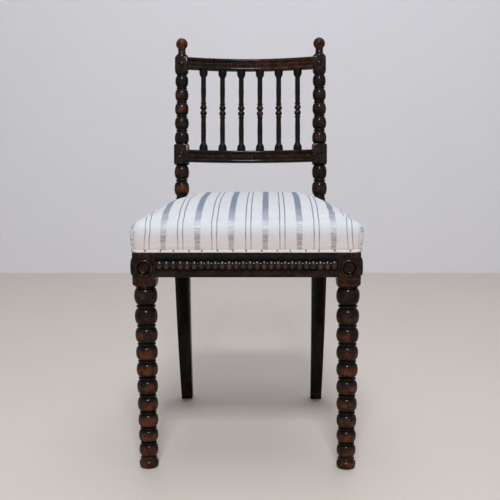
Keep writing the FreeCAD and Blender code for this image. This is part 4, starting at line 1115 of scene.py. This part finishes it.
def swollen(mesh, plan):
    """Places of the mesh's points once its cloth has swelled from the tacked edge. None moves inwards."""
    rest = places_of(mesh)
    at_post = by_post(rest, 0.004) & (plan.nearest(rest)[0] < SIDE_DEEP)
    pinned = np.nonzero((rest[:, 2] < SHOW_TOP + PIN_HIGH) | at_post)[0]
    holder = placed("cloth", mesh)
    holder.vertex_groups.new(name="pins").add([int(index) for index in pinned], 1.0, "REPLACE")
    cloth = holder.modifiers.new("cloth", "CLOTH")
    for key, value in CLOTH_SETTINGS.items():
        setattr(cloth.settings, key, value)
    cloth.settings.effector_weights.gravity = 0
    cloth.collision_settings.use_collision = False
    cloth.point_cache.frame_start = 1
    cloth.point_cache.frame_end = SWELL_FRAMES
    for frame_number in range(1, SWELL_FRAMES + 1):
        SCENE.frame_set(frame_number)
    step = places_of(applied(holder)) - rest
    SCENE.frame_set(1)
    bpy.data.objects.remove(holder)
    outward = np.array([tuple(vertex.normal) for vertex in mesh.vertices])
    pushed_in = np.minimum(0, (step * outward).sum(axis=1))
    step -= outward * pushed_in[:, None]
    reach = np.linalg.norm(step, axis=1)
    limit = SWELL_CAP * np.tanh(reach / SWELL_CAP)
    return rest + step * (limit / np.maximum(reach, 1e-9))[:, None]


def lay_cloth(mesh, plan):
    """Writes where each point lies on the flat cloth, how pale its stripes are along the front edge, and how
    much warm floor bounce and shade is painted on its upright sides.
    """
    places = places_of(mesh)
    depth, facing, _ = plan.nearest(places)
    x, y, z = places.T
    facing_x, facing_y = facing.T
    inset = depth + bulge(facing_x)
    down = SHOW_TOP + WALL_HIGH - z
    on_side = (down > 0) & (depth < SIDE_DEEP)
    turned_by = np.where(on_side, pi / 2, np.arcsin(1 - climb(inset, 0, EDGE_RUN)))
    over = (EDGE_RUN + EDGE_RISE) / 2 * turned_by + np.where(on_side, down, 0)
    short = np.maximum(0, EDGE_RUN - inset)
    inner_y = y - short * facing_y
    front_u = arc_across(x, inner_y)
    front_v = inner_y + np.sign(facing_y) * over
    side_u = arc_across(x - np.sign(x) * short * np.abs(facing_x), y) + np.sign(x) * over
    side_face = facing_x**2 > 0.5
    layer = mesh.uv_layers.new(name="cloth")
    for polygon in mesh.polygons:
        corners = list(polygon.vertices)
        to_side = side_face[corners].mean() > 0.5
        for loop, corner in zip(polygon.loop_indices, corners):
            pair = (side_u[corner], y[corner]) if to_side else (front_u[corner], front_v[corner])
            layer.data[loop].uv = pair
    rise = (z - SHOW_TOP) / (WALL_HIGH + EDGE_RISE)
    # How pale the stripes are: along the rounded front edge and over the front of the top
    ridge = climb(-facing_y, 0.3, 0.5) * climb(0.05 - depth, 0, 0.02) * bell(rise, 0.8, 0.2)
    washed = 0.45 * bell(y, SEAT_FRONT, 0.052) * climb(rise, 0.6, 0.3)
    # Painted warm floor bounce and shade on the upright sides, below the rounded edge
    painted_floor_bounce = (depth < SIDE_DEEP) * (1 - climb(rise, 0.3, 0.45))
    for name, values in (("paled", np.maximum(ridge, washed)), ("painted_floor_bounce", painted_floor_bounce)):
        mesh.attributes.new(name, "FLOAT", "POINT").data.foreach_set("value", values)


def settle(mesh, plan):
    """The pull of the tacks, the pleats at the front corners and the slack of old cloth.

    The underside lies on the base cloth, inside the turned-down edge."""
    places = places_of(mesh)
    depth, facing, round_at = plan.nearest(places)
    high = (places[:, 2] - SHOW_TOP) / WALL_HIGH
    on_wall = climb(0.010 - depth, 0, 0.006)
    between = 0.5 + 0.5 * np.cos(tau * (round_at - TACK_FIRST) / TACK_PITCH)
    out = -TACK_PULL * between * np.exp(-np.maximum(high, 0) * 4.5) * on_wall
    front = places[:, 1] < SEAT_CENTRE.y
    diagonal = bell(facing[:, 0] ** 2, 0.5, 0.12)
    out -= PLEAT_DEEP * diagonal * front * on_wall * (1 - 0.3 * climb(high, 0, 1))
    waves = np.empty(len(places))
    lumps = np.empty(len(places))
    for index, (x, y, z) in enumerate(places):
        waves[index] = noise.noise(Vector((round_at[index] * 70, z * 9, 1.0)))
        lumps[index] = noise.noise(Vector((x * 13, y * 11, 5.0)))
        lumps[index] += 0.35 * noise.noise(Vector((x * 48, y * 20, 9.0)))
    out += SLACK_DEEP * waves * on_wall * climb(high, 0, 1)
    out[by_post(places, 0.006)] = 0
    places[:, :2] += facing * out[:, None]
    places[:, 2] += LUMP_HIGH * lumps * climb(depth, 0.008, 0.03)
    inside = by_post(places)
    narrow = inside & (np.abs(places[:, 0]) - NOTCH_X < places[:, 1] - NOTCH_Y)
    places[narrow, 0] = np.sign(places[narrow, 0]) * NOTCH_X
    places[inside & ~narrow, 1] = NOTCH_Y
    places[:, 2] = np.maximum(places[:, 2], SHOW_TOP)
    under = (places[:, 2] < SHOW_TOP + UNDER_HIGH) & (depth > RAIL_INSET)
    places[under, 2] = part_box("base_hessian")[1].z + UNDER_GAP
    mesh.vertices.foreach_set("co", places.ravel())
    mesh.update()


def seat_cover(plan):
    """The stuffed seat's cover, swelled from its tacked edge."""
    mesh = with_modifier(small_seat(plan), "REMESH", mode="VOXEL", voxel_size=VOXEL)
    lay_cloth(mesh, plan)
    mesh.vertices.foreach_set("co", swollen(mesh, plan).ravel())
    mesh = with_modifier(mesh, "SUBSURF", levels=1)
    settle(mesh, plan)
    mesh.name = "stuffed_seat"
    mesh.materials.clear()
    seat = link(mesh, "stuffed_seat", STRIPED, radians(75))
    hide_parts("seat_cover", "first_stuffing", "second_stuffing")


# The folded edge in section: height above the show wood and distance out. Its upper part waves a little
HEM_ROWS = millimetres((0.2, -1.2), (0.2, 0.4), (1, 1), (3.8, 1), (4.6, 0.5), (4.9, -1.4))
HEM_WAVES_ABOVE = 0.002
HEM_WAVE = 0.0006


def hem(plan):
    """The folded edge of the cover above the show wood, in runs between the posts."""
    count = len(plan.points)
    start = next(index for index, point in enumerate(plan.points) if is_notch(point))
    order = [(start + index) % count for index in range(count)]
    skin = Skin()
    for at_post, group in groupby(order, key=lambda index: is_notch(plan.points[index])):
        run = list(group)
        if at_post or len(run) < 3:
            continue
        rings = []
        for index in run:
            point, normal = plan.points[index], plan.normals[index]
            wave = HEM_WAVE * noise.noise(Vector((plan.lengths[index] * 46, 1.0, 0.0)))
            ring = []
            for up, out in HEM_ROWS:
                level = SHOW_TOP + up + (wave if up > HEM_WAVES_ABOVE else 0.0)
                ring.append(Vector((point.x + normal.x * out, point.y + normal.y * out, level)))
            rings.append(ring)
        skin.add(rings)
    piece = skin.piece("seat_hem", EDGE_CLOTH, "striped_cloth", radians(50))


# A tack's head: height above its seat and radius
TACK_ROWS = millimetres((0, 1.6), (0.3, 1.6), (0.8, 1.3), (1.1, 0.8), (1.2, 0.2))
TACK_UP = 0.0036
TACK_OUT = 0.0009


def tacks(plan):
    """Small domed tacks along the folded edge."""
    skin = Skin()
    next_at = TACK_FIRST
    for point, normal, length in zip(plan.points, plan.normals, plan.lengths):
        if length < next_at:
            continue
        next_at += TACK_PITCH
        if is_notch(point):
            continue
        outward = normal.to_3d()
        side = Vector((-outward.y, outward.x, 0.0))
        base = Vector((*point, SHOW_TOP + TACK_UP)) + outward * TACK_OUT

        def place(across, along, up):
            return base + side * across + Vector((0.0, 0.0, along)) + outward * up

        skin.turn(TACK_ROWS, round_directions(12), place)
    skin.piece("hem_tacks", TACK_BRASS, "striped_cloth")


# Webbing and hessian under the seat
STRAP_COUNT = 3
STRAP_WIDTH = 0.050
STRAP_SPACING = 0.084
STRAP_THICK = 0.0009
STRAP_WAVE = 0.0007
STRAP_STEPS = 60
STRAP_CROSSING_SHARE = 0.07
STRAP_LAYER = 0.0013
FRAME_INSET = 0.009
HESSIAN_STEPS = 28
HESSIAN_GAP = 0.003
HESSIAN_SAG = 0.0002


def frame_half(along):
    """Half the width of what is fixed to the frame under the seat, at a depth."""
    return seat_half(along) - FRAME_INSET


def strap(skin, start, end, level, waves):
    """One strap from start to end, which dips under or rides over the straps it crosses."""
    run = end - start
    side = Vector((-run.y, run.x, 0.0)).normalized() * (STRAP_WIDTH / 2)
    rings = []
    for share in even_steps(0.0, 1.0, STRAP_STEPS + 1):
        point = start + run * share
        lift = level + sum(height * bell(share, at, STRAP_CROSSING_SHARE) for at, height in waves)
        low = Vector((0.0, 0.0, lift))
        high = Vector((0.0, 0.0, lift + STRAP_THICK))
        rings.append([point - side + low, point + side + low, point + side + high, point - side + high])
    skin.add(rings)


def webbing():
    """Jute straps laced over and under each other across the frame."""
    low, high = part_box("webbing_lengthwise")
    columns = [(index - 1) * STRAP_SPACING for index in range(STRAP_COUNT)]
    rows = [middle("webbing_crosswise").y + across for across in columns]
    base = low.z + 0.0003
    lengthwise = Skin()
    crosswise = Skin()
    for column, across in enumerate(columns):
        shares = [(along - low.y) / (high.y - low.y) for along in rows]
        waves = [(share, STRAP_WAVE * ((row + column) % 2)) for row, share in enumerate(shares)]
        strap(lengthwise, Vector((across, low.y, 0.0)), Vector((across, high.y, 0.0)), base, waves)
    for row, along in enumerate(rows):
        half = frame_half(along)
        shares = [(across + half) / (2 * half) for across in columns]
        waves = [(share, -STRAP_WAVE * ((row + column) % 2)) for column, share in enumerate(shares)]
        strap(crosswise, Vector((-half, along, 0.0)), Vector((half, along, 0.0)), base + STRAP_LAYER, waves)
    width = STRAP_WIDTH
    piece = lengthwise.piece("laced_webbing_lengthwise", JUTE, "jute_webbing")
    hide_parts("webbing_lengthwise")
    piece = crosswise.piece("laced_webbing_crosswise", JUTE, "jute_webbing")
    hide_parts("webbing_crosswise")
    lengths = [2 * frame_half(along) for along in rows]
    area = width * sum(lengths)


def hessian():
    """The base cloth over the webbing."""
    low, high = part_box("base_hessian")
    length = high.y - low.y - HESSIAN_GAP
    rings = []
    area = 0.0
    for index in range(HESSIAN_STEPS + 1):
        share = index / HESSIAN_STEPS
        along = low.y + HESSIAN_GAP + length * share
        beside_posts = along > NOTCH_Y - HESSIAN_GAP
        half = NOTCH_X - HESSIAN_GAP if beside_posts else min(frame_half(along), high.x)
        area += 2 * half * length / HESSIAN_STEPS * (0.5 if share in (0, 1) else 1.0)
        under = low.z + 0.0004 - HESSIAN_SAG * sin(pi * share)
        ring = [Vector((across, along, under)) for across in even_steps(-half, half, 13)]
        ring += [Vector((across, along, high.z - 0.0001)) for across in even_steps(half, -half, 13)]
        rings.append(ring)
    piece = Skin().add(rings).piece("woven_base_hessian", HESSIAN, "hessian")
    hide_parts("base_hessian")
    width = 2 * min(frame_half(low.y), high.x)


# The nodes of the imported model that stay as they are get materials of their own
def dress_nodes():
    kept = {
        "side_rail_left": WOOD_ALONG,
        "side_rail_right": WOOD_ALONG,
        "rear_rail": WOOD_ACROSS,
        "corner_block_screws": SCREW_STEEL,
    }
    kept |= {f"{end}_corner_block_{side}": RAW_WOOD for end in ("front", "rear") for side in SIGNS}
    for name, material in kept.items():
        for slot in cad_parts[name].material_slots:
            slot.material = material


# Surroundings
STAGE_HALF = 4
WALL_Y = 1.906
FLOOR = colour(214, 205, 196)
WALL = colour(232, 231, 236)
# The world's strength as light, and as the plain background that is seen past the floor and wall
ROOM_LIGHT = 0.2
ROOM_SEEN = 0.64
# Area lights: name, place, target, width and height, power and tint
LAMPS = (
    ("window", (0.05, -2.6, 3.0), (0.0, 0.0, 0.35), (0.8, 0.7), 89.0, (0.95, 0.97, 1.0)),
    ("sky", (0.2, 0.2, 3.0), (0.0, 0.2, 0.3), (2.4, 2.0), 30.0, (0.92, 0.95, 1.0)),
    ("fill", (0.5, -3.6, 1.6), (0.0, 0.3, 0.5), (5.0, 3.2), 12.0, (1.0, 0.96, 0.92)),
)


def stage():
    """A plain pale floor that meets a plain wall."""
    left, right = -STAGE_HALF, STAGE_HALF
    seam = [(right, WALL_Y, 0), (left, WALL_Y, 0)]
    for name, base, roughness, points in (
        ("floor", FLOOR, 0.6, [(left, left, 0), (right, left, 0), *seam]),
        ("wall", WALL, 0.9, [*reversed(seam), (right, WALL_Y, STAGE_HALF), (left, WALL_Y, STAGE_HALF)]),
    ):
        material, place = new_material(name)
        darker = (*(channel * 0.96 for channel in base[:3]), 1.0)
        finished(material, place.noise(3.0, 3.0).mix(base, darker), roughness)
        mesh = bpy.data.meshes.new(name)
        mesh.from_pydata(points, [], [(0, 1, 2, 3)])
        mesh.materials.append(material)
        placed(name, mesh)


def lights():
    for name, place, target, size, power, tint in LAMPS:
        lamp = bpy.data.lights.new(name, "AREA")
        lamp.shape = "RECTANGLE"
        lamp.size, lamp.size_y = size
        lamp.energy = power
        lamp.color = tint
        holder = placed(name, lamp)
        holder.location = place
        holder.rotation_euler = (Vector(target) - Vector(place)).to_track_quat("-Z", "Y").to_euler()
    world = bpy.data.worlds.new("room")
    world.use_nodes = True
    tree = world.node_tree
    seen = node(tree, "LightPath", output="Is Camera Ray")
    for kind in ("Glossy", "Transmission"):
        seen = seen.larger(node(tree, "LightPath", output=f"Is {kind} Ray"))
    strength = seen * (ROOM_SEEN - ROOM_LIGHT) + ROOM_LIGHT
    fill(tree.nodes["Background"], {"Color": (0.88, 0.89, 0.92, 1.0), "Strength": strength})
    SCENE.world = world


# Camera
CAMERA_PLACE = (0.03836, -1.5360 + LEG_Y, 0.62222)
# Yaw, pitch and roll
CAMERA_TURNS = ((radians(1.196), "Z"), (radians(-8.168), "X"), (radians(0.203), "Y"))
FOCAL_PIXELS = 875.9
PHOTO_PIXELS = 500
SENSOR = 36.0


def camera():
    lens = bpy.data.cameras.new("camera")
    lens.sensor_width = SENSOR
    lens.lens = FOCAL_PIXELS / PHOTO_PIXELS * SENSOR
    lens.clip_start = 0.01
    yaw, pitch, roll = (Matrix.Rotation(angle, 3, axis) for angle, axis in CAMERA_TURNS)
    right, forward, up = (yaw @ pitch @ roll).col
    axes = Matrix((right, up, -forward)).transposed()
    holder = placed("camera", lens)
    holder.matrix_world = Matrix.Translation(CAMERA_PLACE) @ axes.to_4x4()
    SCENE.camera = holder


def main():
    for side in SIGNS:
        front_leg(side)
        rear_post(side)
        for face in ("front", "side"):
            roundel(face, side)
    front_rail()
    front_beads()
    for rail in BACK_RAILS:
        back_rail(*rail)
    for index in range(SPINDLE_COUNT):
        spindle(index)
    buttons()
    plan = seat_plan()
    seat_cover(plan)
    hem(plan)
    tacks(plan)
    webbing()
    hessian()
    dress_nodes()
    stage()
    lights()
    camera()
    SCENE.view_settings.view_transform = "Standard"


main()
